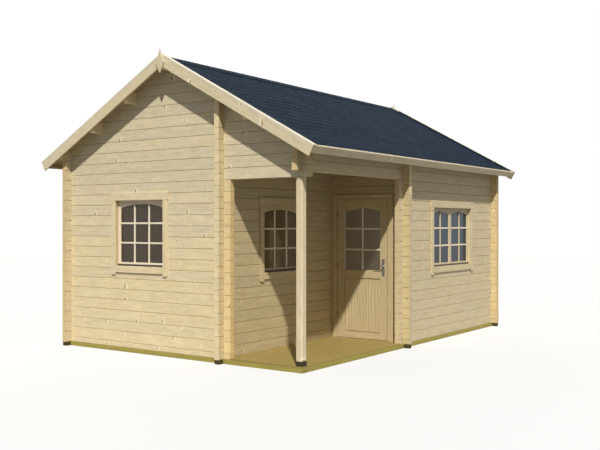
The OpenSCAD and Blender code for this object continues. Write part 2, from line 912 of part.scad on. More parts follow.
// Stiles, three rails and a lower panel; the top rail is arched, the closing stile bored for the lever
module door_leaf() {
  inner = [leaf_x[0] + door_stile, leaf_x[1] - door_stile];
  half = (inner[1] - inner[0]) / 2;
  crown = leaf_z[1] - door_crown;
  panel_z = leaf_z[0] + panel_top;
  color(spruce)
    in_doorway() {
      block([leaf_x[0], 0, leaf_z[0]], [inner[0], leaf_t, leaf_z[1]]);
      difference() {
        block([inner[1], 0, leaf_z[0]], [leaf_x[1], leaf_t, leaf_z[1]]);
        lever_bore(-1, leaf_t + 2);
      }
      block([inner[0] + seat, 0, leaf_z[0]], [inner[1] - seat, leaf_t, leaf_z[0] + bottom_rail]);
      block([inner[0] + seat, 0, panel_z], [inner[1] - seat, leaf_t, panel_z + mid_rail]);
      block(
        [inner[0] + seat, (leaf_t - panel_t) / 2, leaf_z[0] + bottom_rail + seat],
        [inner[1] - seat, (leaf_t + panel_t) / 2, panel_z - seat]
      );
      translate([leaf_x[0] + door_stile + half, leaf_t, 0])
        rotate([90, 0, 0])
          linear_extrude(leaf_t)
            difference() {
              translate([-half + seat, crown - arch_rise])
                square([2 * (half - seat), door_crown + arch_rise]);
              arch_disc(half, crown, 0);
            }
    }
}

module door_glass() {
  half = (leaf_x[1] - leaf_x[0]) / 2 - door_stile;
  crown = leaf_z[1] - door_crown;
  low = leaf_z[0] + panel_top + mid_rail + seat;
  color(pane)
    in_doorway()
      translate([(leaf_x[0] + leaf_x[1]) / 2, (leaf_t + glass_t) / 2, 0])
        rotate([90, 0, 0])
          linear_extrude(glass_t)
            intersection() {
              translate([-half + seat, low]) square([2 * (half - seat), crown - low]);
              arch_disc(half, crown, -seat);
            }
}

// A long plate on each face of the leaf, bored for the lever
module handle_plates() {
  color(steel)
    in_doorway()
      for (y = [-seat - plate_t, leaf_t + seat])
        difference() {
          block(
            [lever_x - plate_w / 2, y, lever_z - plate_below],
            [lever_x + plate_w / 2, y + plate_t, lever_z + plate_h - plate_below]
          );
          lever_bore(y - 1, plate_t + 2);
        }
}

// One spindle with a lever on each face, pointing towards the hinges
module lever_handle() {
  color(steel)
    in_doorway()
      translate([lever_x, 0, lever_z]) {
        translate([0, -lever_out, 0]) rotate([-90, 0, 0]) cylinder(r = neck_r, h = leaf_t + 2 * lever_out);
        for (y = [-lever_out, leaf_t + lever_out])
          translate([0, y, 0]) {
            rotate([0, -90, 0]) cylinder(r = neck_r, h = lever_l);
            sphere(neck_r);
            translate([-lever_l, 0, 0]) sphere(neck_r);
          }
      }
}

post_mid = [cabin_w - log_t / 2, log_t / 2];

module porch_post() {
  half = post_w / 2;
  cut = half - post_bevel;
  low = floor_z + shoe_h + 2 * seat;
  color(spruce)
    translate([post_mid[0], post_mid[1], low])
      linear_extrude(x_bed(beam_course) - low)
        polygon([
          [-half, -cut], [-cut, -half], [cut, -half], [half, -cut],
          [half, cut], [cut, half], [-cut, half], [-half, cut]
        ]);
}

// A box of plate, open below, between the deck and the post
module post_shoe() {
  half = post_w / 2;
  color(blacked)
    translate([post_mid[0], post_mid[1], floor_z + seat])
      difference() {
        block([-half, -half, 0], [half, half, shoe_h]);
        block([shoe_t - half, shoe_t - half, -1], [half - shoe_t, half - shoe_t, shoe_h - shoe_t]);
      }
}

placed() {
  foundation_beams();
  corner_feet();
  room_floor();
  porch_floor();
  left_wall();
  right_wall();
  front_wall();
  front_gable();
  rear_wall();
  rear_gable();
  porch_side_wall();
  porch_back_wall_left();
  porch_back_wall_right();
  porch_back_wall_over();
  purlins();
  roof_boards_left();
  roof_boards_right();
  shingles_left();
  shingles_right();
  ridge_strip();
  front_bargeboards();
  rear_bargeboards();
  bargeboard_caps();
  eave_fascias();
  finials();
  front_window_frame();
  front_window_casing();
  front_window_sash();
  front_window_glass();
  porch_window_frame();
  porch_window_casing();
  porch_window_sash();
  porch_window_glass();
  side_window_frame();
  side_window_casing();
  side_window_sash();
  side_window_glass();
  door_frame();
  door_casing();
  frame_hinges();
  door_leaf();
  door_glass();
  leaf_hinges();
  handle_plates();
  lever_handle();
  porch_post();
  post_shoe();
}
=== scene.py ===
import math
import random

import bmesh
import bpy
import numpy as np
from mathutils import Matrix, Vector


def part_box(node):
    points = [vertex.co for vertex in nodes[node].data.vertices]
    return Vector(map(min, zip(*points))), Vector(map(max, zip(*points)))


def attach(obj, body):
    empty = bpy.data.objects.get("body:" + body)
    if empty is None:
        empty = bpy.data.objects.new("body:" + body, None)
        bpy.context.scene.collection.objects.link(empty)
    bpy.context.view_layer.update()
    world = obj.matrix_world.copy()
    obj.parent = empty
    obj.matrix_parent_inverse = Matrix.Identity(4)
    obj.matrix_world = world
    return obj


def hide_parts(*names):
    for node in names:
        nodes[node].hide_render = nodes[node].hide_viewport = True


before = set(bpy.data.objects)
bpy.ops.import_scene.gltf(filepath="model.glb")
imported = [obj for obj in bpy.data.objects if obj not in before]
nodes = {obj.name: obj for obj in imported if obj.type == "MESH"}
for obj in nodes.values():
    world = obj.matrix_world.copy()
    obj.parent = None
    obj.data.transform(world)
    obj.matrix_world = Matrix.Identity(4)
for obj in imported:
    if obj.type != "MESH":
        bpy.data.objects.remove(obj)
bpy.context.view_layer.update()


# shader building, one call per node, in the tree that the fed sockets stand in
def put(tree, kind, **values):
    node = tree.nodes.new("ShaderNode" + kind)
    for key, value in values.items():
        setattr(node, key, value)
    return node


def isSocket(value):
    return isinstance(value, bpy.types.NodeSocket)


def feed(socket, value):
    if isSocket(value):
        socket.id_data.links.new(value, socket)
    else:
        socket.default_value = value


def treeOf(terms):
    return next(term.id_data for term in terms if isSocket(term))


def fed(kind, terms, **values):  # the outputs of a node that takes these terms in order
    node = put(treeOf(terms), kind, **values)
    for socket, term in zip(node.inputs, terms):
        feed(socket, term)
    return node.outputs


def calc(how, *terms):
    return fed("Math", terms, operation=how)[0]


def plus(first, second):
    return calc("ADD", first, second)


def minus(first, second):
    return calc("SUBTRACT", first, second)


def times(first, second):
    return calc("MULTIPLY", first, second)


def over(first, second):
    return calc("DIVIDE", first, second)


def length(first, second):  # of a flat vector
    return calc("SQRT", plus(times(first, first), times(second, second)))


def fade(value, low, high, start=0.0, end=1.0):  # smooth step from low to high
    return fed("MapRange", (value, low, high, start, end), interpolation_type="SMOOTHSTEP")[0]


def spread(value, start, end):  # 0 to 1 onto start to end
    return fed("MapRange", (value, 0.0, 1.0, start, end))[0]


def split(vector):
    return fed("SeparateXYZ", (vector,))


def join(x, y, z):
    return fed("CombineXYZ", (x, y, z))[0]


def stretch(vector, by):
    return fed("VectorMath", (vector, by), operation="MULTIPLY")[0]


def cloud(vector, scale=1.0, detail=2.0, rough=0.5):
    node = put(vector.id_data, "TexNoise")
    for word, value in (("Vector", vector), ("Scale", scale), ("Detail", detail), ("Roughness", rough)):
        feed(node.inputs[word], value)
    return node.outputs[0]


def tint(amount, first, second, how="MIX"):
    node = put(treeOf((amount, first, second)), "Mix", data_type="RGBA", blend_type=how)
    feed(node.inputs[0], amount)
    for socket, color in zip(node.inputs[6:8], (first, second)):  # 6 and 7 take colours, 2 gives one
        feed(socket, color if isSocket(color) else (*color, 1))
    return node.outputs[2]


def shade(color, amount):  # a colour times a number
    return tint(1.0, color, join(amount, amount, amount), "MULTIPLY")


def seenRays(tree):  # 1 for what the camera sees, also in and through glass
    path = put(tree, "LightPath")
    seen = calc("MAXIMUM", path.outputs["Is Camera Ray"], path.outputs["Is Glossy Ray"])
    return calc("MAXIMUM", seen, path.outputs["Is Transmission Ray"])


def blankTree(owner):
    owner.use_nodes = True
    owner.node_tree.nodes.clear()
    return owner.node_tree


def newMaterial(name):
    mat = bpy.data.materials.new(name)
    tree = blankTree(mat)
    skin = put(tree, "BsdfPrincipled")
    feed(put(tree, "OutputMaterial").inputs[0], skin.outputs[0])
    return mat, tree, skin


def dress(skin, color, rough, height, deep, strength):
    bump = put(skin.id_data, "Bump")
    for word, value in (("Strength", strength), ("Distance", deep), ("Height", height)):
        feed(bump.inputs[word], value)
    for word, value in (("Base Color", color), ("Roughness", rough), ("Normal", bump.outputs[0])):
        feed(skin.inputs[word], value)


same = (1.0, 1.0, 1.0)  # leaves a colour as it is

# spruce: rings round a pith, streaks along the piece, knots with bent grain
spruceLook = {
    "early": (0.747, 0.637, 0.42), "late": (0.594, 0.447, 0.238), "warm": (0.718, 0.588, 0.35),
    "knot": (0.27, 0.165, 0.075), "rim": (0.54, 0.37, 0.17), "flame": (0.97, 0.86, 0.60),
    # high cools the upper logs, painted light for the ground's bounce fading with height
    "cutWood": (0.70, 0.52, 0.246), "high": (0.91, 0.955, 1.03), "ends": (1.0, 0.955, 0.83),
    "jointDustShade": (0.80, 0.73, 0.62), "ringGap": 0.0052, "ringShare": 0.42, "knotAlong": 2.3, "knotAcross": 6.6,
    "knotFrom": 0.68, "knotSmall": 0.008, "knotLarge": 0.019, "rough": (0.52, 0.72),
}
# walls and trim that face sideways: a darker copy of the spruce, painted shade for how the sun falls on them,
# with cut ends painted lighter
sideShadeLook = {
    **spruceLook, "early": (0.627, 0.541, 0.363), "late": (0.485, 0.375, 0.211),
    "warm": (0.584, 0.492, 0.299), "flame": (0.74, 0.65, 0.44), "cutWood": (0.755, 0.60, 0.36),
    "high": same, "ends": (0.98, 0.93, 0.80),
}
# the timber under the porch roof: a darker, warmer copy as painted shade and bounce, its ends past a corner
# and cut ends painted lighter again where they stand in the light
porchShadeLook = {
    **spruceLook, "early": (0.525, 0.43, 0.25), "late": (0.415, 0.305, 0.15), "warm": (0.50, 0.395, 0.21),
    "flame": (0.64, 0.53, 0.32), "cutWood": (0.80, 0.67, 0.43), "high": same, "ends": (1.17, 1.18, 1.20),
}
# clear timber of the door and the porch window, a little lighter than the porch's painted shade it is built
# on
joineryShadeLook = {
    **porchShadeLook, "early": (0.557, 0.456, 0.265), "late": (0.44, 0.323, 0.159), "warm": (0.53, 0.419, 0.223),
    "knotFrom": 0.985,
}
# logs that stand in the sun beside the porch, a darker copy of the spruce as painted shade for that strip,
# and the golden rear wall
cornerShadeLook = {
    **porchShadeLook, "early": (0.625, 0.523, 0.295), "late": (0.49, 0.37, 0.175), "warm": (0.595, 0.48, 0.248),
    "flame": (0.76, 0.645, 0.38), "cutWood": (0.62, 0.53, 0.36), "ends": same,
}
rearLook = {
    **spruceLook, "early": (0.70, 0.57, 0.34), "late": (0.56, 0.40, 0.193), "warm": (0.674, 0.527, 0.283),
    "high": same, "ends": (0.98, 0.965, 0.93),
}
# boards out in the weather, and the caps that shed its rain, their pale grey a painted sky reflection
bargeLook = {
    **spruceLook, "early": (0.688, 0.607, 0.427), "late": (0.547, 0.425, 0.242),
    "warm": (0.66, 0.56, 0.355), "flame": (0.88, 0.82, 0.617),
}
capSheenLook = {
    **spruceLook, "early": (0.69, 0.64, 0.51), "late": (0.58, 0.51, 0.37), "warm": (0.66, 0.60, 0.46),
    "knotFrom": 0.9,
}
# roof boards, seen only from below: darker wood as painted shade under the roof
soffitShadeLook = {
    **spruceLook, "early": (0.43, 0.33, 0.185), "late": (0.32, 0.225, 0.105), "warm": (0.40, 0.295, 0.155),
    "flame": (0.46, 0.36, 0.21), "cutWood": (0.40, 0.29, 0.15),
}
# the front window's frame: darker, warmer wood as painted shade in the reveal
revealShadeLook = {
    **spruceLook, "early": (0.55, 0.42, 0.235), "late": (0.43, 0.30, 0.14), "warm": (0.52, 0.385, 0.20),
    "knotFrom": 0.9,
}
# window and door bars and the front sash: pale wood as painted light and painted sky reflection
paleLightLook = {
    **spruceLook, "early": (0.82, 0.745, 0.585), "late": (0.70, 0.60, 0.42), "warm": (0.79, 0.70, 0.52),
    "knotFrom": 0.9,
}
deckLook = {
    **spruceLook, "early": (0.329, 0.243, 0.072), "late": (0.227, 0.151, 0.039),
    "warm": (0.292, 0.216, 0.063), "flame": (0.367, 0.275, 0.092), "cutWood": (0.302, 0.221, 0.065),
    "knotFrom": 0.7, "rough": (0.6, 0.8),
}
treatedLook = {
    **spruceLook, "early": (0.345, 0.285, 0.064), "late": (0.24, 0.19, 0.037), "warm": (0.305, 0.26, 0.052),
    "rim": (0.22, 0.16, 0.04), "flame": (0.40, 0.34, 0.085), "cutWood": (0.27, 0.22, 0.05),
    "rough": (0.6, 0.82),
}


# how far each pattern is drawn out along, across and into the wood, and how the knots stand in it
figure = {
    "sway": (1.1, 7.0, 7.0), "fine": (60.0, 90.0, 90.0), "streak": (0.9, 34.0, 34.0),
    "stain": (2.2, 5.0, 5.0), "patch": (4.5, 20.0, 20.0), "fibre": (14.0, 420.0, 420.0), "scatter": 0.8,
    "lean": 0.6, "narrow": 1.45, "tall": 0.62, "ragged": 0.005, "core": (1.12, 0.72), "rim": (2.0, 1.0),
    "aside": 0.9, "flameWide": 0.75, "flame": (2.8, 0.6), "swayShift": 0.03, "knotShift": 0.016,
    "lateRise": (0.25, 0.9), "lateFall": (1.0, 0.93), "lateSpread": (0.2, 1.6), "toneShare": 0.35,
    "warmFrom": (0.4, 1.0), "flameShare": 0.62, "rimShare": 0.5, "coreDark": (0.1, 1.0, 0.72, 1.0),
    "cutShare": 0.95, "toneLevel": (0.96, 1.04), "streakLevel": (-0.08, 0.08), "patchLevel": (0.74, 1.26),
    "fibreLevel": (0.95, 1.05), "lateHeight": 0.4, "fibreHeight": 0.6, "knotSink": 0.5, "deep": 0.0012,
    "strength": 0.35,
}


def woodFigure(skin, grain, tone, cut, look, jointDustShade=None, high=None, ends=None):
    u, v, w = split(grain)
    sway = cloud(stretch(grain, figure["sway"]))
    # one knot in some cells of a stretched pattern
    cell = put(skin.id_data, "TexVoronoi", voronoi_dimensions="2D")
    feed(cell.inputs["Scale"], 1.0)
    feed(cell.inputs["Randomness"], figure["scatter"])
    feed(cell.inputs["Vector"], stretch(grain, (look["knotAlong"], look["knotAcross"], 0.0)))
    cellX, cellY, _ = split(cell.outputs["Position"])
    draw, size, lean = split(cell.outputs["Color"])
    du = minus(u, over(cellX, look["knotAlong"]))
    dv = minus(v, over(cellY, look["knotAcross"]))
    slant = plus(du, times(dv, spread(lean, -figure["lean"], figure["lean"])))
    narrow = times(slant, figure["narrow"])
    tall = times(dv, figure["tall"])
    away = length(narrow, tall)
    fine = cloud(stretch(grain, figure["fine"]))
    away = plus(away, times(minus(fine, 0.5), figure["ragged"]))
    radius = spread(times(size, size), look["knotSmall"], look["knotLarge"])
    there = calc("GREATER_THAN", draw, look["knotFrom"])
    ratio = over(away, radius)
    core = times(there, fade(ratio, *figure["core"]))
    rim = times(there, fade(ratio, *figure["rim"]))
    aside = minus(slant, times(radius, figure["aside"]))
    aside = times(aside, figure["flameWide"])
    beside = length(aside, tall)
    halo = times(there, fade(over(beside, radius), *figure["flame"]))
    # growth rings, pushed aside round the knots
    ringR = length(v, w)
    ringR = plus(ringR, times(sway, figure["swayShift"]))
    ringR = plus(ringR, times(halo, figure["knotShift"]))
    ring = calc("FRACT", over(ringR, look["ringGap"]))
    late = times(fade(ring, *figure["lateRise"]), fade(ring, *figure["lateFall"]))
    streak = cloud(stretch(grain, figure["streak"]), detail=3.0, rough=0.6)
    stain = cloud(stretch(grain, figure["stain"]))
    patch = cloud(stretch(grain, figure["patch"]), detail=4.0, rough=0.68)
    late = times(late, spread(streak, *figure["lateSpread"]))
    color = tint(times(late, look["ringShare"]), look["early"], look["late"])
    ripe = plus(stain, times(tone, figure["toneShare"]))
    color = tint(fade(ripe, *figure["warmFrom"]), color, look["warm"])
    color = tint(times(halo, figure["flameShare"]), color, look["flame"])
    color = tint(times(rim, figure["rimShare"]), color, look["rim"])
    dark = fade(ratio, *figure["coreDark"])
    color = tint(times(core, dark), color, look["knot"])
    sawn = tint(late, look["cutWood"], look["late"])
    color = tint(times(cut, figure["cutShare"]), color, sawn)
    level = plus(spread(tone, *figure["toneLevel"]), spread(streak, *figure["streakLevel"]))
    level = times(level, spread(patch, *figure["patchLevel"]))
    # dust and painted shade in the joints of logs, cooler upper logs as painted light, ends past a corner
    # tinted as painted light
    for amount, word in ((jointDustShade, "jointDustShade"), (high, "high"), (ends, "ends")):
        if amount is not None:
            color = tint(amount, color, tint(1.0, color, look[word], "MULTIPLY"))
    fibre = cloud(stretch(grain, figure["fibre"]))
    level = times(level, spread(fibre, *figure["fibreLevel"]))
    height = plus(times(late, figure["lateHeight"]), times(fibre, figure["fibreHeight"]))
    height = minus(height, times(core, figure["knotSink"]))
    rough = spread(fibre, *look["rough"])
    dress(skin, shade(color, level), rough, height, figure["deep"], figure["strength"])


def boardWood(name, look):  # grain, tone and cut ends come from the boards' own attributes
    mat, tree, skin = newMaterial(name)
    read = [put(tree, "Attribute", attribute_name=word) for word in ("grain", "tone", "cut")]
    woodFigure(skin, read[0].outputs["Vector"], read[1].outputs["Fac"], read[2].outputs["Fac"], look)
    return mat


logCourse = {
    # ripe spans the heights where the upper logs' painted cooler light comes in
    "bed": 0.054, "height": 0.140, "seamFrom": 0.002, "seamTo": 0.0055, "ripe": (0.5, 2.6), "past": 0.1008,
    "seedStep": 1.37, "runOn": 40.0, "pithUp": 0.03, "pithDeep": 0.02, "cutFrom": (0.6, 0.9),
}


def logWood(name, runs, span, middle, seed, look):  # every course is a log with its own grain
    mat, tree, skin = newMaterial(name)
    where = put(tree, "TexCoord")
    x, y, z = split(where.outputs["Object"])
    nx, ny, _ = split(where.outputs["Normal"])
    along, deep, face = (x, y, nx) if runs == "x" else (y, x, ny)
    shift = 0.5 if runs == "x" else 0.0
    count = over(minus(z, logCourse["bed"]), logCourse["height"])
    count = plus(count, shift)
    course = calc("FLOOR", count)
    level = times(minus(count, course), logCourse["height"])
    pick = put(tree, "TexWhiteNoise", noise_dimensions="1D")
    feed(pick.inputs["W"], plus(times(course, logCourse["seedStep"]), seed))
    first, second, third = split(pick.outputs["Color"])
    u = plus(along, times(first, logCourse["runOn"]))
    pith = spread(second, -logCourse["pithUp"], logCourse["pithUp"])
    v = plus(minus(level, 0.5 * logCourse["height"]), pith)
    pith = spread(third, -logCourse["pithDeep"], logCourse["pithDeep"])
    w = plus(minus(deep, middle), pith)
    # dust and painted shade along the joints between the logs
    edge = calc("MINIMUM", level, minus(logCourse["height"], level))
    jointDustShade = fade(edge, logCourse["seamTo"], logCourse["seamFrom"])
    cut = fade(calc("ABSOLUTE", face), *logCourse["cutFrom"])
    # the logs past a corner get their own tint, painted light for how the sun falls on them where they stand
    # out
    nearest = calc("MINIMUM", minus(along, span[0]), minus(span[1], along))
    ends = calc("LESS_THAN", nearest, logCourse["past"])
    # painted light: cooler towards the top of the wall, as the bounce from the ground fades
    high = fade(z, *logCourse["ripe"])
    woodFigure(skin, join(u, v, w), first, cut, look, jointDustShade, high, ends)
    return mat


spruce = boardWood("spruceBoards", spruceLook)
sideShadeSpruce = boardWood("sideShadeBoards", sideShadeLook)
porchShadeSpruce = boardWood("porchShadeBoards", joineryShadeLook)
bargeSpruce = boardWood("bargeBoards", bargeLook)
capSheenSpruce = boardWood("capSheenBoards", capSheenLook)
soffitShadeSpruce = boardWood("soffitShadeBoards", soffitShadeLook)
revealShadeSpruce = boardWood("revealShadeBoards", revealShadeLook)
paleLightSpruce = boardWood("paleLightBoards", paleLightLook)
deckWood = boardWood("deckBoards", deckLook)
treatedWood = boardWood("treatedBeams", treatedLook)

feltLook = {
    "dark": (0.0045, 0.0098, 0.018), "pale": (0.012, 0.022, 0.038), "grain": 260.0, "wash": (0.9, 2.6, 0.9),
    "speckShare": 0.55, "washShare": 0.45, "tabLevel": (0.86, 1.14), "lipPaintedLight": (0.0, 0.16, 1.6, 1.0),
    "sheen": 0.06, "rough": (0.8, 0.98), "deep": 0.0015, "strength": 0.6,
}


def roofFelt(name):
    mat, tree, skin = newMaterial(name)
    where = put(tree, "TexCoord").outputs["Object"]
    tone = put(tree, "Attribute", attribute_name="tone").outputs["Fac"]
    lap = put(tree, "Attribute", attribute_name="lap").outputs["Fac"]
    grit = put(tree, "TexVoronoi")
    feed(grit.inputs["Scale"], feltLook["grain"])
    feed(grit.inputs["Vector"], where)
    speck = split(grit.outputs["Color"])[0]
    wash = cloud(stretch(where, feltLook["wash"]), detail=3.0)
    mixed = plus(times(speck, feltLook["speckShare"]), times(wash, feltLook["washShare"]))
    color = tint(mixed, feltLook["dark"], feltLook["pale"])
    # painted light: the lower edges and lips of the tabs brightened against their shade
    level = times(spread(tone, *feltLook["tabLevel"]), fade(lap, *feltLook["lipPaintedLight"]))
    feed(skin.inputs["Specular IOR Level"], feltLook["sheen"])
    rough = spread(speck, *feltLook["rough"])
    dress(skin, shade(color, level), rough, speck, feltLook["deep"], feltLook["strength"])
    return mat


mottle = {"finer": 14, "patchShare": 0.7, "fineShare": 0.3, "deep": 0.0004, "strength": 0.3}
brush = {"lines": (900.0, 900.0, 30.0), "deep": 0.0002, "strength": 0.2}


def mottled(name, dark, pale, scale, rough, metal=0.0, sheen=0.5):
    mat, tree, skin = newMaterial(name)
    where = put(tree, "TexCoord").outputs["Object"]
    patch = cloud(where, scale, detail=4.0, rough=0.6)
    fine = cloud(where, scale * mottle["finer"])
    mixed = plus(times(patch, mottle["patchShare"]), times(fine, mottle["fineShare"]))
    feed(skin.inputs["Metallic"], metal)
    feed(skin.inputs["Specular IOR Level"], sheen)
    dress(skin, tint(mixed, dark, pale), spread(mixed, *rough), fine, mottle["deep"], mottle["strength"])
    return mat


def brushed(name, dark, pale, rough):  # fine lines up and down the metal
    mat, tree, skin = newMaterial(name)
    where = put(tree, "TexCoord").outputs["Object"]
    lines = cloud(stretch(where, brush["lines"]), detail=3.0)
    feed(skin.inputs["Metallic"], 1.0)
    dress(skin, tint(lines, dark, pale), spread(lines, *rough), lines, brush["deep"], brush["strength"])
    return mat


glassLook = {"dust": 5.0, "film": (30.0, 30.0, 4.0), "foot": (1.50, 1.15), "deep": 0.0006, "strength": 0.05}


def paneGlass(name, dark, pale, clear, sheen, low=None, bend=1.5, rough=(0.01, 0.06)):  # low paints a reflection at the foot
    mat, tree, skin = newMaterial(name)
    where = put(tree, "TexCoord").outputs["Object"]
    dust = cloud(where, glassLook["dust"], detail=3.0)
    film = cloud(stretch(where, glassLook["film"]))
    feed(skin.inputs["Transmission Weight"], clear)
    feed(skin.inputs["IOR"], bend)
    feed(skin.inputs["Specular Tint"], (*sheen, 1))
    color = tint(dust, dark, pale)
    if low:
        color = tint(fade(split(where)[2], *glassLook["foot"]), color, low)
    dress(skin, color, spread(film, *rough), dust, glassLook["deep"], glassLook["strength"])
    return mat


felt = roofFelt("roofFelt")
footRubber = mottled(
    "footRubber", (0.050, 0.041, 0.015), (0.095, 0.080, 0.033), scale=30.0, rough=(0.8, 0.95), sheen=0.08,
)
darkIron = mottled(
    "darkIron", (0.030, 0.023, 0.012), (0.070, 0.056, 0.032), scale=22.0, rough=(0.5, 0.7), sheen=0.12,
)
plainSteel = brushed("plainSteel", (0.34, 0.34, 0.325), (0.52, 0.52, 0.495), rough=(0.26, 0.42))
zincSteel = mottled(
    "zincSteel", (0.36, 0.36, 0.35), (0.60, 0.59, 0.56), scale=40.0, rough=(0.3, 0.5), metal=1.0,
)
keyholeShade = mottled("keyholeShade", (0.006, 0.006, 0.006), (0.02, 0.02, 0.02), scale=60.0, rough=(0.5, 0.7))
hingeMetal = mottled(
    "hingeMetal", (0.32, 0.20, 0.08), (0.44, 0.29, 0.12), scale=30.0, rough=(0.4, 0.6), metal=0.1,
)
dripStripAndShade = mottled(
    "dripStripAndShade", (0.030, 0.021, 0.016), (0.065, 0.046, 0.034), scale=26.0, rough=(0.5, 0.7),
)
darkPane = paneGlass("darkPane", (0.24, 0.19, 0.13), (0.30, 0.24, 0.17), clear=0.9, sheen=(1.0, 0.86, 0.72))
# porch window glass: its brown, mostly diffuse base colour a painted view of the shaded room behind
brownShadePane = paneGlass(
    "brownShadePane", (0.20, 0.145, 0.075), (0.28, 0.205, 0.11), clear=0.35, sheen=(1.0, 0.84, 0.62),
)
doorPane = paneGlass(
    "doorPane", (0.42, 0.33, 0.20), (0.56, 0.45, 0.29), clear=0.94, sheen=(1.0, 0.95, 0.86), bend=3.2,
    rough=(0.30, 0.36),
)
# side window glass: its blue, partly diffuse base and the purplish foot are painted reflections
skyReflectionPane = paneGlass(
    "skyReflectionPane", (0.006, 0.036, 0.072), (0.020, 0.060, 0.108), clear=0.6, sheen=(0.36, 0.56, 0.74),
    low=(0.026, 0.030, 0.052),
)
print("materials:", len(bpy.data.materials))


# mesh building
def islandsOf(bm):
    bm.verts.ensure_lookup_table()
    seen, groups = set(), []
    for start in bm.verts:
        if start.index in seen:
            continue
        seen.add(start.index)
        group, front = [], [start]
        while front:
            vert = front.pop()
            group.append(vert)
            for edge in vert.link_edges:
                other = edge.other_vert(vert)
                if other.index not in seen:
                    seen.add(other.index)
                    front.append(other)
        groups.append(group)
    return groups


grainLay = {"run": 60, "up": 0.04, "into": 0.05, "cutFrom": 0.75}


def markGrain(bm, seed, sloped=False):  # each separate board gets its own grain and tone
    draw = random.Random(seed)
    up, into = grainLay["up"], grainLay["into"]
    bm.verts.index_update()
    grain = bm.verts.layers.float_vector.new("grain")
    tone = bm.verts.layers.float.new("tone")
    cut = bm.faces.layers.float.new("cut")
    for group in islandsOf(bm):
        points = np.array([vert.co[:] for vert in group])
        middle = (points.min(0) + points.max(0)) / 2
        if sloped:
            axes = np.linalg.eigh(np.cov((points - middle).T))[1].T[::-1]
        else:
            axes = np.eye(3)[np.argsort(-(points.max(0) - points.min(0)), kind="stable")]
        shift = np.array([draw.uniform(0, grainLay["run"]), draw.uniform(-up, up), draw.uniform(-into, into)])
        placed = (points - middle) @ axes.T + shift
        value = draw.random()
        for vert, spot in zip(group, placed):
            vert[grain] = Vector(spot)
            vert[tone] = value
        along = Vector(axes[0])
        for face in {face for vert in group for face in vert.link_faces}:
            face[cut] = 1.0 if abs(face.normal.dot(along)) > grainLay["cutFrom"] else 0.0


def settle(bm):
    bmesh.ops.recalc_face_normals(bm, faces=bm.faces)
    bm.normal_update()


def ease(bm, width, steps=2, angle=25):  # rounds the sharp edges
    sharp = [edge for edge in bm.edges if edge.is_manifold and edge.calc_face_angle(0) > math.radians(angle)]
    bmesh.ops.bevel(
        bm, geom=sharp, offset=width, segments=steps, profile=0.5, affect="EDGES", clamp_overlap=True,
    )


clean = {"weld": 0.00002, "flat": 0.5}


def takeNode(name):  # a CAD node's shape as a clean mesh
    bm = bmesh.new()
    bm.from_mesh(nodes[name].data)
    bmesh.ops.remove_doubles(bm, verts=bm.verts, dist=clean["weld"])
    bmesh.ops.dissolve_limit(bm, angle_limit=math.radians(clean["flat"]), verts=bm.verts, edges=bm.edges)
    return bm


def addObject(name, data):
    thing = bpy.data.objects.new(name, data)
    bpy.context.scene.collection.objects.link(thing)
    return thing


def makePiece(name, bm, mat, body="cabin", stands=(), rounded=0):
    mesh = bpy.data.meshes.new(name)
    bm.to_mesh(mesh)
    bm.free()
    mesh.materials.append(mat)
    if rounded:
        mesh.polygons.foreach_set("use_smooth", [True] * len(mesh.polygons))
        mesh.set_sharp_from_angle(angle=math.radians(rounded))
    piece = addObject(name, mesh)
    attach(piece, body)
    if stands:
        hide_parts(*stands)


def woodPiece(name, bm, mat, seed, body="cabin", stands=(), sloped=False):
    settle(bm)
    markGrain(bm, seed, sloped)
    makePiece(name, bm, mat, body, stands)


def softPiece(name, node, width, mat, seed, sloped=False):  # a CAD node with eased edges
    bm = takeNode(node)
    ease(bm, width)
    woodPiece(name, bm, mat, seed, stands=[node], sloped=sloped)


def coat(name, mat):  # a CAD node that keeps its shape
    nodes[name].data.materials.clear()
    nodes[name].data.materials.append(mat)


def upright(a, b, c):
    return Vector((a, b, c))


def bridge(bm, first, second):  # faces between two rings of points
    for i in range(len(first)):
        j = (i + 1) % len(first)
        bm.faces.new((first[i], first[j], second[j], second[i]))


def addPrism(bm, outline, low, high, place):  # outline in a and b, pushed from low to high along c
    under = [bm.verts.new(place(a, b, low)) for a, b in outline]
    above = [bm.verts.new(place(a, b, high)) for a, b in outline]
    bm.faces.new(under[::-1])
    bm.faces.new(above)
    bridge(bm, under, above)


def addRing(bm, path, profile, place):  # a moulding swept round a closed outline, mitred at its corners
    rings = []
    for i, here in enumerate(path):
        before, after = Vector(path[i - 1]), Vector(path[(i + 1) % len(path)])
        here = Vector(here)
        d1, d2 = (here - before).normalized(), (after - here).normalized()
        n1, n2 = Vector((-d1.y, d1.x)), Vector((-d2.y, d2.x))
        mitre = (n1 + n2) / (1 + n1.dot(n2))
        rings.append([bm.verts.new(place(here.x + mitre.x * a, here.y + mitre.y * a, c)) for a, c in profile])
    for i, ring in enumerate(rings):
        bridge(bm, ring, rings[(i + 1) % len(rings)])


def chamfered(x0, x1, z0, z1, lower=0.0, upper=0.0):  # a board's section, corners cut by lower and upper
    points = []
    points += [(x0, z0 + lower), (x0 + lower, z0)] if lower else [(x0, z0)]
    points += [(x1 - lower, z0), (x1, z0 + lower)] if lower else [(x1, z0)]
    points += [(x1, z1 - upper), (x1 - upper, z1)] if upper else [(x1, z1)]
    points += [(x0 + upper, z1), (x0, z1 - upper)] if upper else [(x0, z1)]
    return points


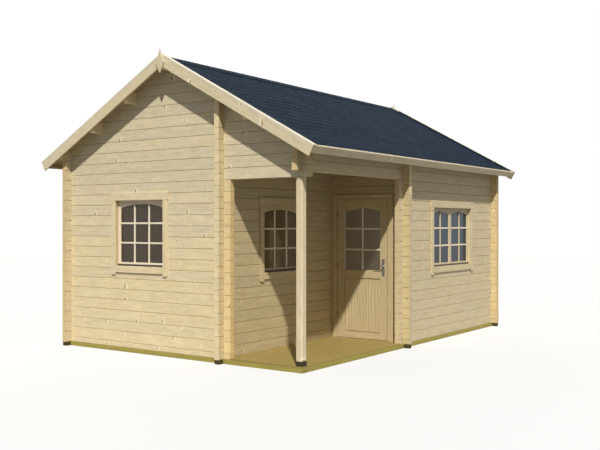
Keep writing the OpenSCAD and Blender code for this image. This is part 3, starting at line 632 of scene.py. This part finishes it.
# log walls keep their CAD shapes: way the logs run, seed, look
logWalls = {
    "front_wall": ("x", 1.3, spruceLook), "front_gable": ("x", 1.3, spruceLook),
    "rear_wall": ("x", 41.7, rearLook), "rear_gable": ("x", 41.7, rearLook),
    "porch_back_wall_left": ("x", 83.1, porchShadeLook), "porch_back_wall_right": ("x", 97.9, cornerShadeLook),
    "porch_back_wall_over": ("x", 83.1, porchShadeLook), "porch_side_wall": ("y", 207.7, porchShadeLook),
    "left_wall": ("y", 121.3, sideShadeLook), "right_wall": ("y", 163.9, sideShadeLook),
}
for name, (runs, seed, look) in logWalls.items():
    low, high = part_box(name)
    lengths, depths = (low.x, high.x), (low.y, high.y)
    if runs == "y":
        lengths, depths = depths, lengths
    coat(name, logWood(name + "Logs", runs, lengths, sum(depths) / 2, seed, look))
print("log walls:", len(logWalls))

# trim and frames with eased edges: bevel, whether it lies along the slope, wood
trim = {
    "front_bargeboards": (0.003, True, bargeSpruce), "rear_bargeboards": (0.003, True, bargeSpruce),
    "bargeboard_caps": (0.003, True, capSheenSpruce), "eave_fascias": (0.003, True, bargeSpruce),
    "purlins": (0.004, False, spruce), "finials": (0.003, False, bargeSpruce),
    "porch_post": (0.005, False, bargeSpruce),
    "front_window_frame": (0.002, False, revealShadeSpruce), "front_window_casing": (0.003, False, spruce),
    "front_window_sash": (0.002, False, paleLightSpruce), "porch_window_frame": (0.002, False, porchShadeSpruce),
    "porch_window_casing": (0.003, False, porchShadeSpruce), "porch_window_sash": (0.002, False, porchShadeSpruce),
    "side_window_frame": (0.002, False, sideShadeSpruce), "side_window_casing": (0.003, False, sideShadeSpruce),
    "side_window_sash": (0.002, False, sideShadeSpruce), "door_frame": (0.002, False, porchShadeSpruce),
    "door_casing": (0.003, False, porchShadeSpruce),
}
for seed, (name, (width, sloped, wood)) in enumerate(trim.items()):
    softPiece(name + "_wood", name, width, wood, seed=100 + seed, sloped=sloped)
softPiece(
    "foundation_timbers", "foundation_beams", width=0.003, mat=treatedWood, seed=131,
)
softPiece("corner_foot_blocks", "corner_feet", width=0.004, mat=footRubber, seed=132)
print("trim pieces:", len(trim) + 2)

# roof layers: boards down the slope, shingle rows over them
roof = {
    "pitch": math.radians(28.7), "deck": 0.020, "board": 0.0905, "boardGap": 0.0012, "vee": 0.004,
    "row": 0.142, "tab": 0.333, "tabGap": 0.005, "underlay": 0.0060, "lip": 0.0020, "capLength": 0.252,
    "capThick": 0.0036, "fillet": 0.016, "filletVerge": 0.0225, "filletEave": 0.018, "seat": 0.0004,
    "layer": 0.009, "ridgeGap": 0.0006, "sheetBack": 0.004, "lapUnder": 0.012, "rowLeast": 0.04,
    "tabLeast": 0.02, "stagger": 0.02, "tuck": (0.0002, 0.0008), "lift": 0.0004, "ragged": 0.002,
    "rowTop": 0.004, "capTop": 0.0045, "capLap": 0.02, "capDrop": 0.0009, "capIn": 0.001, "capSkew": 0.002,
    "capSlope": 0.006, "wingBack": 0.002, "capClear": 0.01, "verge": 0.001, "rowSlack": 0.02,
    "sheetTone": 0.2, "filletTone": 0.1, "filletLap": 0.5,
}
roofTurn = (math.cos(roof["pitch"]), math.sin(roof["pitch"]))
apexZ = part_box("roof_boards_left")[1].z - roof["deck"] / roofTurn[0]
feltBase = roof["deck"] + roof["seat"]
feltTop = feltBase + roof["layer"]


def slopePlace(side):  # along the slope, along the ridge, square to the slope
    def place(s, y, n):
        x = s * roofTurn[0] + n * roofTurn[1]
        return Vector((side * x, y, apexZ - s * roofTurn[1] + n * roofTurn[0]))
    return place


def slopeEnd(node, n):  # lowest point of a roof layer along the slope, at height n
    return (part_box(node)[1].x - n * roofTurn[1]) / roofTurn[0]


def ridgeStart(n):
    return -n * roofTurn[1] / roofTurn[0] + roof["ridgeGap"]


def roofBoards(side, node):
    low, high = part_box(node)
    place = slopePlace(side)
    end = slopeEnd("roof_boards_right", roof["deck"])
    count = round((high.y - low.y) / roof["board"])
    pitch = (high.y - low.y) / count
    bm = bmesh.new()
    for k in range(count):
        y0 = low.y + k * pitch + roof["boardGap"] / 2
        y1 = low.y + (k + 1) * pitch - roof["boardGap"] / 2
        section = chamfered(y0, y1, 0.0, roof["deck"], roof["vee"])
        ends = []
        for along in (ridgeStart, lambda n: end):
            ends.append([bm.verts.new(place(along(n), y, n)) for y, n in section])
        bm.faces.new(ends[0])
        bm.faces.new(ends[1][::-1])
        bridge(bm, *ends)
    woodPiece(node + "_grooved", bm, soffitShadeSpruce, seed=151 + side, stands=[node], sloped=True)


def addTab(bm, place, s0, s1, y0, y1, bottom, top, tone, layers):  # s0 is the upper end, s1 the lower edge
    corners = []
    for s, y, n in (
        (s0, y0, bottom[0]), (s1, y0, bottom[1]), (s1, y1, bottom[1]), (s0, y1, bottom[0]),
        (s0, y0, top[0]), (s1, y0, top[1]), (s1, y1, top[1]), (s0, y1, top[0]),
    ):
        vert = bm.verts.new(place(s, y, n))
        vert[layers[0]] = tone
        vert[layers[1]] = (s1 - s) / (s1 - s0)
        corners.append(vert)
    for face in ((3, 2, 1, 0), (4, 5, 6, 7), (0, 1, 5, 4), (1, 2, 6, 5), (2, 3, 7, 6), (3, 0, 4, 7)):
        bm.faces.new([corners[i] for i in face])


def feltLayers(bm):  # tone of a tab, and how far a point lies above its lower edge, which paints light on the tabs' lower edges
    return bm.verts.layers.float.new("tone"), bm.verts.layers.float.new("lap")


def shingleSlope(side, node):
    draw = random.Random(61 + side)
    low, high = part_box(node)
    place = slopePlace(side)
    end = slopeEnd("shingles_right", feltTop)
    bm = bmesh.new()
    layers = feltLayers(bm)
    sheet = feltBase + roof["underlay"]
    back = end - roof["sheetBack"]
    sheetEnds = (feltBase, feltBase), (sheet, sheet)
    addTab(bm, place, ridgeStart(sheet), back, low.y, high.y, *sheetEnds, roof["sheetTone"], layers)
    rows = int((end + roof["rowSlack"]) / roof["row"])
    for k in range(rows + 1):
        s1 = end - k * roof["row"]
        s0 = max(s1 - roof["row"] - roof["lapUnder"], roof["rowTop"])
        if s1 - s0 < roof["rowLeast"]:
            continue
        y = low.y - (k % 2) * roof["tab"] / 2 - draw.uniform(0, roof["stagger"])
        while y < high.y:
            y0, y1 = max(y + roof["tabGap"] / 2, low.y), min(y + roof["tab"] - roof["tabGap"] / 2, high.y)
            if y1 - y0 > roof["tabLeast"]:
                lift = draw.uniform(-roof["lift"], 0.0)
                edge = s1 + draw.uniform(-roof["ragged"], 0.0)
                bottom = (sheet + roof["tuck"][0], feltTop - roof["lip"] + lift)
                top = (sheet + roof["tuck"][1], feltTop + lift)
                addTab(bm, place, s0, edge, y0, y1, bottom, top, draw.random(), layers)
            y += roof["tab"]
    settle(bm)
    makePiece(node + "_tabs", bm, felt, stands=[node])


def ridgeCaps():
    draw = random.Random(77)
    low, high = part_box("ridge_strip")
    base = feltTop + roof["seat"]
    wing = (high.x - roof["capSlope"] * roofTurn[1]) / roofTurn[0] - roof["wingBack"]
    bm = bmesh.new()
    layers = feltLayers(bm)
    count = round((high.y - low.y) / roof["capLength"])
    step = (high.y - low.y) / count
    for k in range(count):
        y0 = low.y + k * step
        y1 = min(y0 + step + roof["capLap"], high.y)
        tone, skew = draw.random(), draw.uniform(-roof["capSkew"], roof["capSkew"])
        rows = []
        for y, drop, lap in ((y0 + roof["capIn"], 0.0, 0.0), (y1, roof["capDrop"], 1.0)):
            ring = []
            top = base + roof["capTop"] - drop
            under = top - roof["capThick"]
            for side, s, n in (
                (-1, wing + skew, top), (-1, ridgeStart(top), top), (1, wing + skew, top),
                (1, wing + skew, under), (-1, ridgeStart(under), under), (-1, wing + skew, under),
            ):
                spot = slopePlace(side)(s, y, n)
                if s == ridgeStart(n):
                    spot.x = 0.0
                vert = bm.verts.new(spot)
                vert[layers[0]], vert[layers[1]] = tone, lap
                ring.append(vert)
            rows.append(ring)
        bm.faces.new((rows[0][0], rows[0][1], rows[0][4], rows[0][5]))
        bm.faces.new((rows[0][1], rows[0][2], rows[0][3], rows[0][4]))
        bm.faces.new((rows[1][0], rows[1][5], rows[1][4], rows[1][1]))
        bm.faces.new((rows[1][1], rows[1][4], rows[1][3], rows[1][2]))
        bridge(bm, *rows)
    settle(bm)
    makePiece("ridge_caps", bm, felt, stands=["ridge_strip"])


for side, word in ((-1, "left"), (1, "right")):
    roofBoards(side, "roof_boards_" + word)
    shingleSlope(side, "shingles_" + word)
ridgeCaps()


def upstands():
    bm = bmesh.new()
    layers = feltLayers(bm)
    under = feltTop + roof["seat"]
    wide = roof["fillet"]
    capLow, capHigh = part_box("ridge_strip")
    end = slopeEnd("shingles_right", under - roof["seat"])
    start = capHigh.x / roofTurn[0] + roof["capClear"]
    for side in (-1, 1):
        place = slopePlace(side)
        for edge, way in ((capLow.y, 1), (capHigh.y, -1)):
            corner = [(edge, under), (edge + way * wide, under), (edge, under + roof["filletVerge"])]
            addPrism(bm, corner, start, end - roof["verge"], lambda y, n, s: place(s, y, n))
        corner = [(end, under), (end - wide, under), (end, under + roof["filletEave"])]
        addPrism(bm, corner, capLow.y + wide, capHigh.y - wide, lambda s, n, y: place(s, y, n))
    for vert in bm.verts:
        vert[layers[0]], vert[layers[1]] = roof["filletTone"], roof["filletLap"]
    settle(bm)
    makePiece("felt_upstands", bm, felt)


upstands()
print("roof: boards, shingle rows, ridge caps and upstands")

# floors of separate boards
floors = {
    "deckBoard": 0.118, "deckGap": 0.010, "roomBoard": 0.090, "roomGap": 0.001, "logEnd": 0.1012,
    "log": 0.0728, "wallGap": 0.0008, "firstBoard": 0.1015, "wallIn": 0.0724, "wallOut": 0.0726,
    "slip": 0.0006, "past": 0.1006, "tie": 0.0004, "notch": 0.0002, "far": 9.0, "least": 0.02,
    "leastSpan": 0.03, "behind": 0.1, "roomRows": 30, "deckEase": 0.004, "roomEase": 0.0015,
}


def floorBoards(name, node, mat, board, gap, start, blocked, rounding, seed):
    low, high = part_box(node)
    bm = bmesh.new()
    edges = [low.x]
    x = start
    while x < high.x - floors["least"]:
        if x > low.x + floors["least"]:
            edges.append(x)
        x += board
    edges.append(high.x)
    for a, b in zip(edges, edges[1:]):
        x0, x1 = a + gap / 2, b - gap / 2
        # lengths of this board that stay clear of the log ends
        spans = [(low.y, high.y)]
        for bx0, bx1, by0, by1 in blocked:
            if x1 > bx0 and x0 < bx1:
                spans = [
                    part for y0, y1 in spans
                    for part in ((y0, min(y1, by0)), (max(y0, by1), y1))
                    if part[1] - part[0] > floors["leastSpan"]
                ]
        for y0, y1 in spans:
            addPrism(bm, chamfered(x0, x1, y0, y1), low.z, high.z, upright)
    ease(bm, rounding)
    woodPiece(name, bm, mat, seed, stands=[node])


deckLow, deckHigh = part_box("porch_floor")
backY = deckHigh.y + floors["wallGap"]  # front face of the wall behind the porch
porchX = deckLow.x - floors["wallGap"]  # porch face of the porch side wall
far, logEnd = floors["far"], floors["logEnd"]
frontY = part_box("front_wall")[0].y + floors["notch"] + floors["log"]
deckLogs = [
    (porchX - floors["behind"], porchX + logEnd, -far, frontY),
    (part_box("right_wall")[0].x - floors["tie"], far, backY - logEnd, far),
]
floorBoards(
    "porch_deck_boards", "porch_floor", deckWood, floors["deckBoard"], floors["deckGap"],
    porchX + floors["firstBoard"], deckLogs, floors["deckEase"], seed=161,
)
roomY = backY + floors["log"]
roomLogs = [
    (porchX - floors["wallIn"] - logEnd, porchX - floors["wallIn"], backY - floors["slip"], roomY),
    (porchX - floors["wallOut"], porchX + floors["slip"], -far, roomY + floors["past"]),
    (porchX + floors["tie"], porchX + logEnd, -far, roomY),
    (porchX + logEnd, far, -far, roomY),
]
floorBoards(
    "room_floor_boards", "room_floor", spruce, floors["roomBoard"], floors["roomGap"],
    porchX - floors["wallOut"] - floors["roomRows"] * floors["roomBoard"], roomLogs,
    floors["roomEase"], seed=162,
)
print("floors: deck and room boards")

# window bars and glazing beads, drawn in the wall's plane
bars = {
    "wide": 0.024, "deep": 0.0145, "bead": 0.004, "beadDeep": 0.006, "gap": 0.0003, "rise": 0.052,
    "shoulder": 0.45, "flat": 0.27, "beadShoulder": 0.35, "beadFlat": 0.3,
}
strip = {"high": 0.024, "deep": 0.010, "low": 0.001, "off": 0.0003, "top": 0.004, "in": 0.001}
windows = {
    "front_window": {"turn": 0, "cols": 3, "rows": 3, "panes": 1, "pane": darkPane, "wood": paleLightSpruce},
    "porch_window": {"turn": 90, "cols": 3, "rows": 3, "panes": 1, "pane": brownShadePane, "wood": paleLightSpruce},
    "side_window": {
        "turn": 90, "cols": 2, "rows": 3, "panes": 2, "pane": skyReflectionPane, "wood": sideShadeSpruce,
        # the side window's crossing bars paler than its uprights, a painted sky reflection
        "cross": paleLightSpruce,
    },
}


def archAt(half, crown, x):
    r = (half * half + bars["rise"] ** 2) / (2 * bars["rise"])
    return crown - r + math.sqrt(max(r * r - x * x, 0.0))


def archPath(half, low, crown, steps=20):  # round the opening, from its lower left corner
    path = [(-half, low), (half, low)]
    for i in range(steps + 1):
        x = half - 2 * half * i / steps
        path.append((x, archAt(half, crown, x)))
    return path


def barSection(wide, deep):
    half, flat, shoulder = wide / 2, bars["flat"] * wide, bars["shoulder"] * deep
    return [(-half, 0.0), (half, 0.0), (half, shoulder), (flat, deep), (-flat, deep), (-half, shoulder)]


# face lists each side's pane surface and the way out of it
def glazing(bm, cross, half, low, crown, cols, rows, face, place):
    clear = bars["gap"]
    wide, bead, deep = bars["wide"], bars["bead"], bars["beadDeep"]
    shoulder, flat = bars["beadShoulder"] * deep, bars["beadFlat"] * bead
    uprights = [-half + 2 * half * (k + 1) / cols for k in range(cols - 1)]
    levels = [low + (crown - low) * (k + 1) / rows for k in range(rows - 1)]
    for depth, way in face:
        def out(a, b, c):
            return place(a, b, depth + way * (clear + c))
        path = archPath(half - clear, low + clear, crown - clear)
        profile = [(0.0, 0.0), (bead, 0.0), (bead, shoulder), (flat, deep), (0.0, deep)]
        addRing(bm, path, profile, out)
        section = barSection(wide, bars["deep"])
        for x in uprights:
            top = archAt(half, crown, abs(x) + wide / 2) - bead - clear
            addPrism(bm, section, low + bead + 2 * clear, top, lambda a, c, b: out(x + a, b, c))
        sides = [x + e * (wide / 2 + clear) for x in uprights for e in (-1, 1)]
        stops = [-half + bead + clear] + sides + [half - bead - clear]
        for z in levels:
            for a0, a1 in zip(stops[::2], stops[1::2]):
                addPrism(cross, section, a0, a1, lambda b, c, a: out(a, z + b, c))


def wallPlace(turn):  # along the wall, up, and into the wall
    if turn:
        return lambda a, b, c: Vector((-c, a, b))
    return lambda a, b, c: Vector((a, c, b))


def wallSpan(node, turn):  # a node's box, its ends along the wall, and its faces into the wall
    low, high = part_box(node)
    if turn:
        return low, high, (low.y, high.y), (-high.x, -low.x)
    return low, high, (low.x, high.x), (low.y, high.y)


for seed, (name, spec) in enumerate(windows.items()):
    flat = wallPlace(spec["turn"])
    low, high, span, depth = wallSpan(name + "_glass", spec["turn"])
    points = [vert.co[1 if spec["turn"] else 0] for vert in nodes[name + "_glass"].data.vertices]
    middle = (span[0] + span[1]) / 2
    groups = [points]
    if spec["panes"] == 2:
        groups = [[p for p in points if p < middle], [p for p in points if p > middle]]
    bm = bmesh.new()
    cross = bmesh.new() if "cross" in spec else bm
    for group in groups:
        centre, half = (min(group) + max(group)) / 2, (max(group) - min(group)) / 2
        glazing(
            bm, cross, half, low.z, high.z, spec["cols"], spec["rows"], [(depth[0], -1), (depth[1], 1)],
            lambda a, b, c: flat(centre + a, b, c),
        )
    woodPiece(name + "_bars", bm, spec["wood"], seed=171 + seed)
    if "cross" in spec:
        woodPiece(name + "_cross_bars", cross, spec["cross"], seed=177 + seed)
    # dark strip along the foot of the sash: a drip strip, its dark colour painted shade of the gap under the
    # sash
    bm = bmesh.new()
    low, high, span, (face, _) = wallSpan(name + "_sash", spec["turn"])
    z0, z1 = low.z + strip["low"], low.z + strip["high"]
    back = face - strip["off"]
    section = [(face - strip["deep"], z0), (back, z0), (back, z1), (face - strip["top"], z1)]
    addPrism(bm, section, span[0] + strip["in"], span[1] - strip["in"], lambda c, b, a: flat(a, b, c))
    settle(bm)
    makePiece(name + "_drip_strip_and_shade", bm, dripStripAndShade)
    coat(name + "_glass", spec["pane"])
print("windows:", len(windows), "with bars and beads")

# door leaf, panel of upright boards, bars, handle plates
door = {
    "stile": 0.114, "bottomRail": 0.088, "panelTop": 0.852, "board": 0.047, "panelDeep": 0.032,
    "vee": 0.007, "core": 0.010, "groove": 0.009, "grooveEnd": 0.014, "thin": 0.04, "easing": 0.002,
    "fit": 0.0006, "boardGap": 0.001, "seat": 0.0002, "cols": 2, "rows": 3,
}
leafLow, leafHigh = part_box("door_leaf")
bm = takeNode("door_leaf")
thin = []  # the plain panel, which the boards stand for
for group in islandsOf(bm):
    depths = [vert.co.y for vert in group]
    if max(depths) - min(depths) < door["thin"]:
        thin += group
bmesh.ops.delete(bm, geom=thin, context="VERTS")
ease(bm, door["easing"])
woodPiece("door_stiles_and_rails", bm, porchShadeSpruce, seed=181, body="door", stands=["door_leaf"])

bm = bmesh.new()
x0, x1 = leafLow.x + door["stile"] + door["fit"], leafHigh.x - door["stile"] - door["fit"]
z0, z1 = leafLow.z + door["bottomRail"] + door["fit"], leafLow.z + door["panelTop"] - door["fit"]
yMid = (leafLow.y + leafHigh.y) / 2
edge, core = door["groove"], door["core"] / 2
addPrism(bm, chamfered(x0, x1, yMid - core, yMid + core), z0, z1, upright)
count = round((x1 - x0 - 2 * edge) / door["board"])
pitch = (x1 - x0 - 2 * edge) / count
for way in (-1, 1):
    for k in range(count):
        a, b = x0 + edge + k * pitch + door["boardGap"], x0 + edge + (k + 1) * pitch - door["boardGap"]
        section = chamfered(a, b, core + door["seat"], door["panelDeep"] / 2, 0.0, door["vee"])
        ends = z0 + door["grooveEnd"], z1 - door["grooveEnd"]
        addPrism(bm, section, *ends, lambda p, q, r: Vector((p, yMid + way * q, r)))
woodPiece("door_panel_boards", bm, porchShadeSpruce, seed=182, body="door")

bm = bmesh.new()
glassLow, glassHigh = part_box("door_glass")
half, centre = (glassHigh.x - glassLow.x) / 2, (glassHigh.x + glassLow.x) / 2
glazing(
    bm, bm, half, glassLow.z, glassHigh.z, door["cols"], door["rows"],
    [(glassLow.y, -1), (glassHigh.y, 1)],
    lambda a, b, c: Vector((centre + a, c, b)),
)
woodPiece("door_bars", bm, paleLightSpruce, seed=183, body="door")
coat("door_glass", doorPane)


def roundedBox(x0, x1, z0, z1, r, steps=6):
    points = []
    left, right, low, high = x0 + r, x1 - r, z0 + r, z1 - r
    for cx, cz, turn in ((right, low, -90), (right, high, 0), (left, high, 90), (left, low, 180)):
        for i in range(steps + 1):
            t = math.radians(turn + 90 * i / steps)
            points.append((cx + r * math.cos(t), cz + r * math.sin(t)))
    return points


def circle(cx, cz, r, count=28):
    turns = [2 * math.pi * i / count for i in range(count)]
    return [(cx + r * math.cos(t), cz + r * math.sin(t)) for t in turns]


# heights stand above the leaf's face
plate = {
    "round": 0.010, "seat": 0.0004, "thick": 0.0042, "on": 0.0043, "collar": 0.0155,
    "rim": [(0.0, 0.0043), (0.005, 0.0043), (0.005, 0.0068), (0.0012, 0.0068), (0.0, 0.0056)],
    "lockDown": 0.072, "barrel": 0.0085, "lockTop": 0.0078, "slotHalf": 0.005, "slot": (0.024, 0.0088),
    "slotRound": 0.0049, "keyHalf": 0.0011, "key": (0.0055, 0.004), "keyRound": 0.001,
    "keyTop": (0.0079, 0.0083), "screwIn": 0.014, "screw": 0.0045, "screwTop": 0.0054,
}
plateLow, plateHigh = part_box("handle_plates")
leverLow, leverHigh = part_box("lever_handle")
axisZ = (leverLow.z + leverHigh.z) / 2
axisX = (plateLow.x + plateHigh.x) / 2
metal, keyholeShades = bmesh.new(), bmesh.new()
for face, way in ((leafLow.y, -1), (leafHigh.y, 1)):
    def onLeaf(a, b, c):
        return Vector((a, face + way * (plate["seat"] + c), b))
    body = roundedBox(plateLow.x, plateHigh.x, plateLow.z, plateHigh.z, plate["round"])
    addPrism(metal, body, 0.0, plate["thick"], onLeaf)
    addRing(metal, circle(axisX, axisZ, plate["collar"]), plate["rim"], onLeaf)
    lockZ = axisZ - plate["lockDown"]
    slotX, keyX = plate["slotHalf"], plate["keyHalf"]
    slotZ = lockZ - plate["slot"][0], lockZ - plate["slot"][1]
    keyZ = lockZ - plate["key"][0], lockZ + plate["key"][1]
    slot = roundedBox(axisX - slotX, axisX + slotX, *slotZ, plate["slotRound"], steps=5)
    # the keyhole is a near-black sheet on the lock, painted shade standing for the hole
    key = roundedBox(axisX - keyX, axisX + keyX, *keyZ, plate["keyRound"], steps=2)
    addPrism(metal, circle(axisX, lockZ, plate["barrel"], count=20), plate["on"], plate["lockTop"], onLeaf)
    addPrism(metal, slot, plate["on"], plate["lockTop"], onLeaf)
    addPrism(keyholeShades, key, *plate["keyTop"], onLeaf)
    for z in (plateLow.z + plate["screwIn"], plateHigh.z - plate["screwIn"]):
        addPrism(metal, circle(axisX, z, plate["screw"], count=16), plate["on"], plate["screwTop"], onLeaf)
for bm, name, mat in ((metal, "handle_plate_faces", plainSteel), (keyholeShades, "lock_keyhole_shades", keyholeShade)):
    settle(bm)
    makePiece(name, bm, mat, "door", ["handle_plates"] if bm is metal else (), rounded=35)

coat("lever_handle", plainSteel)
coat("leaf_hinges", hingeMetal)
coat("frame_hinges", hingeMetal)
coat("post_shoe", darkIron)
print("door: leaf, panel, bars, plates")

# screw heads in the trim, bolts in the post's shoe
screws = {
    "head": (0.0042, 0.0009, 12), "rim": 0.35, "top": 0.6, "casingUp": 0.10, "casingDown": 0.17,
    "casingIn": 0.045, "headIn": 0.05, "bargeAlong": (0.28, 0.84, 1.40, 1.96, 2.46),
    "bargeAcross": (-0.058, 0.002), "doorUp": (0.25, 0.75, 1.25, 1.75), "doorIn": 0.024,
}
bolts = {"head": (0.0075, 0.0045, 6), "apart": 0.022}


def addHead(bm, spot, out, radius, proud, sides):
    out = Vector(out).normalized()
    turn = out.to_track_quat("Z", "Y").to_matrix()
    rings = []
    for r, h in ((radius, 0.0), (radius, screws["rim"] * proud), (screws["top"] * radius, proud)):
        ring = []
        for i in range(sides):
            t = 2 * math.pi * i / sides
            ring.append(bm.verts.new(Vector(spot) + turn @ Vector((r * math.cos(t), r * math.sin(t), h))))
        rings.append(ring)
    bm.faces.new(rings[0][::-1])
    bm.faces.new(rings[2])
    bridge(bm, rings[0], rings[1])
    bridge(bm, rings[1], rings[2])


bm = bmesh.new()
for name, spec in windows.items():
    low, high, span, (face, _) = wallSpan(name + "_casing", spec["turn"])
    flat = wallPlace(spec["turn"])
    for z in (low.z + screws["casingUp"], (low.z + high.z) / 2, high.z - screws["casingDown"]):
        for a in (span[0] + screws["casingIn"], span[1] - screws["casingIn"]):
            addHead(bm, flat(a, z, face), flat(0, 0, -1), *screws["head"])
    for a in (span[0] + screws["headIn"], span[1] - screws["headIn"]):
        addHead(bm, flat(a, high.z - screws["headIn"], face), flat(0, 0, -1), *screws["head"])
for node, way in (("front_bargeboards", -1), ("rear_bargeboards", 1)):
    low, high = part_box(node)
    face = low.y if way < 0 else high.y
    for side in (-1, 1):
        place = slopePlace(side)
        for s in screws["bargeAlong"]:
            for n in screws["bargeAcross"]:
                addHead(bm, place(s, face, n), (0, way, 0), *screws["head"])
low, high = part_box("door_casing")
for z in screws["doorUp"]:
    for x in (low.x + screws["doorIn"], high.x - screws["doorIn"]):
        addHead(bm, (x, low.y, z), (0, -1, 0), *screws["head"])
settle(bm)
makePiece("trim_screws", bm, zincSteel, rounded=30)

bm = bmesh.new()
low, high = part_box("post_shoe")
mid = (low + high) / 2
reach = (high.x - low.x) / 2
for out in ((1, 0, 0), (-1, 0, 0), (0, 1, 0), (0, -1, 0)):
    for shift in (-bolts["apart"], bolts["apart"]):
        side = Vector((out[1], out[0], 0)) * shift
        addHead(bm, mid + Vector(out) * reach + side, out, *bolts["head"])
settle(bm)
makePiece("shoe_bolts", bm, darkIron)
print("fixings: screws and bolts")

# floor, light and camera
stage = {
    "size": 60.0, "pale": (0.80, 0.80, 0.79), "speck": (0.78, 0.78, 0.77), "glow": 0.45, "drop": 0.0005,
    "near": (0.39, 0.372, 0.345), "far": (0.14, 0.135, 0.125), "bounceReach": (3.5, 8.0),
}
bm = bmesh.new()
bmesh.ops.create_grid(bm, x_segments=4, y_segments=4, size=stage["size"] / 2)
floorMesh = bpy.data.meshes.new("stage_floor")
bm.to_mesh(floorMesh)
bm.free()
floor = addObject("stage_floor", floorMesh)
floor.location.z = -stage["drop"]
mat = bpy.data.materials.new("paleFloor")
tree = blankTree(mat)
seen = seenRays(tree)
matte = put(tree, "BsdfDiffuse")
where = put(tree, "TexCoord").outputs["Object"]
speckle = cloud(where, scale=3.0, detail=3.0)
reach = fed("VectorMath", (where,), operation="LENGTH")["Value"]
thrown = tint(fade(reach, *stage["bounceReach"]), stage["near"], stage["far"])
shown = tint(speckle, stage["pale"], stage["speck"])
feed(matte.inputs["Color"], tint(seen, thrown, shown))
glow = put(tree, "Emission")
blend = fed("MixShader", (times(seen, stage["glow"]), matte.outputs[0], glow.outputs[0]))[0]
feed(put(tree, "OutputMaterial").inputs[0], blend)
floorMesh.materials.append(mat)

light = {
    "sunTravels": (-0.82, 1.0, -1.394), "sun": 4.0, "sunAngle": 1.5, "sunColor": (1.0, 0.975, 0.93),
    "fillTravels": (0.65, -0.70, -0.30), "fill": 0.9, "fillAngle": 40.0, "sky": (0.93, 0.97, 1.0),
    "skyLevel": 0.25, "height": 12,
}


def addSun(name, travels, strength, angle, color):
    lamp = bpy.data.lights.new(name, "SUN")
    lamp.energy = strength
    lamp.angle = math.radians(angle)
    lamp.color = color
    holder = addObject(name, lamp)
    holder.rotation_euler = Vector(travels).to_track_quat("-Z", "Y").to_euler()
    holder.location.z = light["height"]


addSun("mainSun", light["sunTravels"], light["sun"], light["sunAngle"], light["sunColor"])
addSun("backFill", light["fillTravels"], light["fill"], light["fillAngle"], (1, 1, 1))

world = bpy.data.worlds.new("paleWorld")
bpy.context.scene.world = world
tree = blankTree(world)
seen = seenRays(tree)
sky = put(tree, "Background")
feed(sky.inputs["Color"], (*light["sky"], 1))
feed(sky.inputs["Strength"], light["skyLevel"])
plain = put(tree, "Background")
feed(plain.inputs["Color"], (1, 1, 1, 1))
blend = fed("MixShader", (seen, sky.outputs[0], plain.outputs[0]))[0]
feed(put(tree, "OutputWorld").inputs[0], blend)

view = {
    "place": (7.5145, -10.6639, 1.6891), "tip": 89.946, "turn": 35.087, "lens": 51.008, "sensor": 36.0,
    "far": 200,
}
camera = bpy.data.cameras.new("camera")
camera.lens = view["lens"]
camera.sensor_width = view["sensor"]
camera.clip_end = view["far"]
holder = addObject("camera", camera)
holder.location = view["place"]
holder.rotation_euler = (math.radians(view["tip"]), 0, math.radians(view["turn"]))
bpy.context.scene.camera = holder
bpy.context.scene.view_settings.view_transform = "Standard"
print("stage, light and camera set")
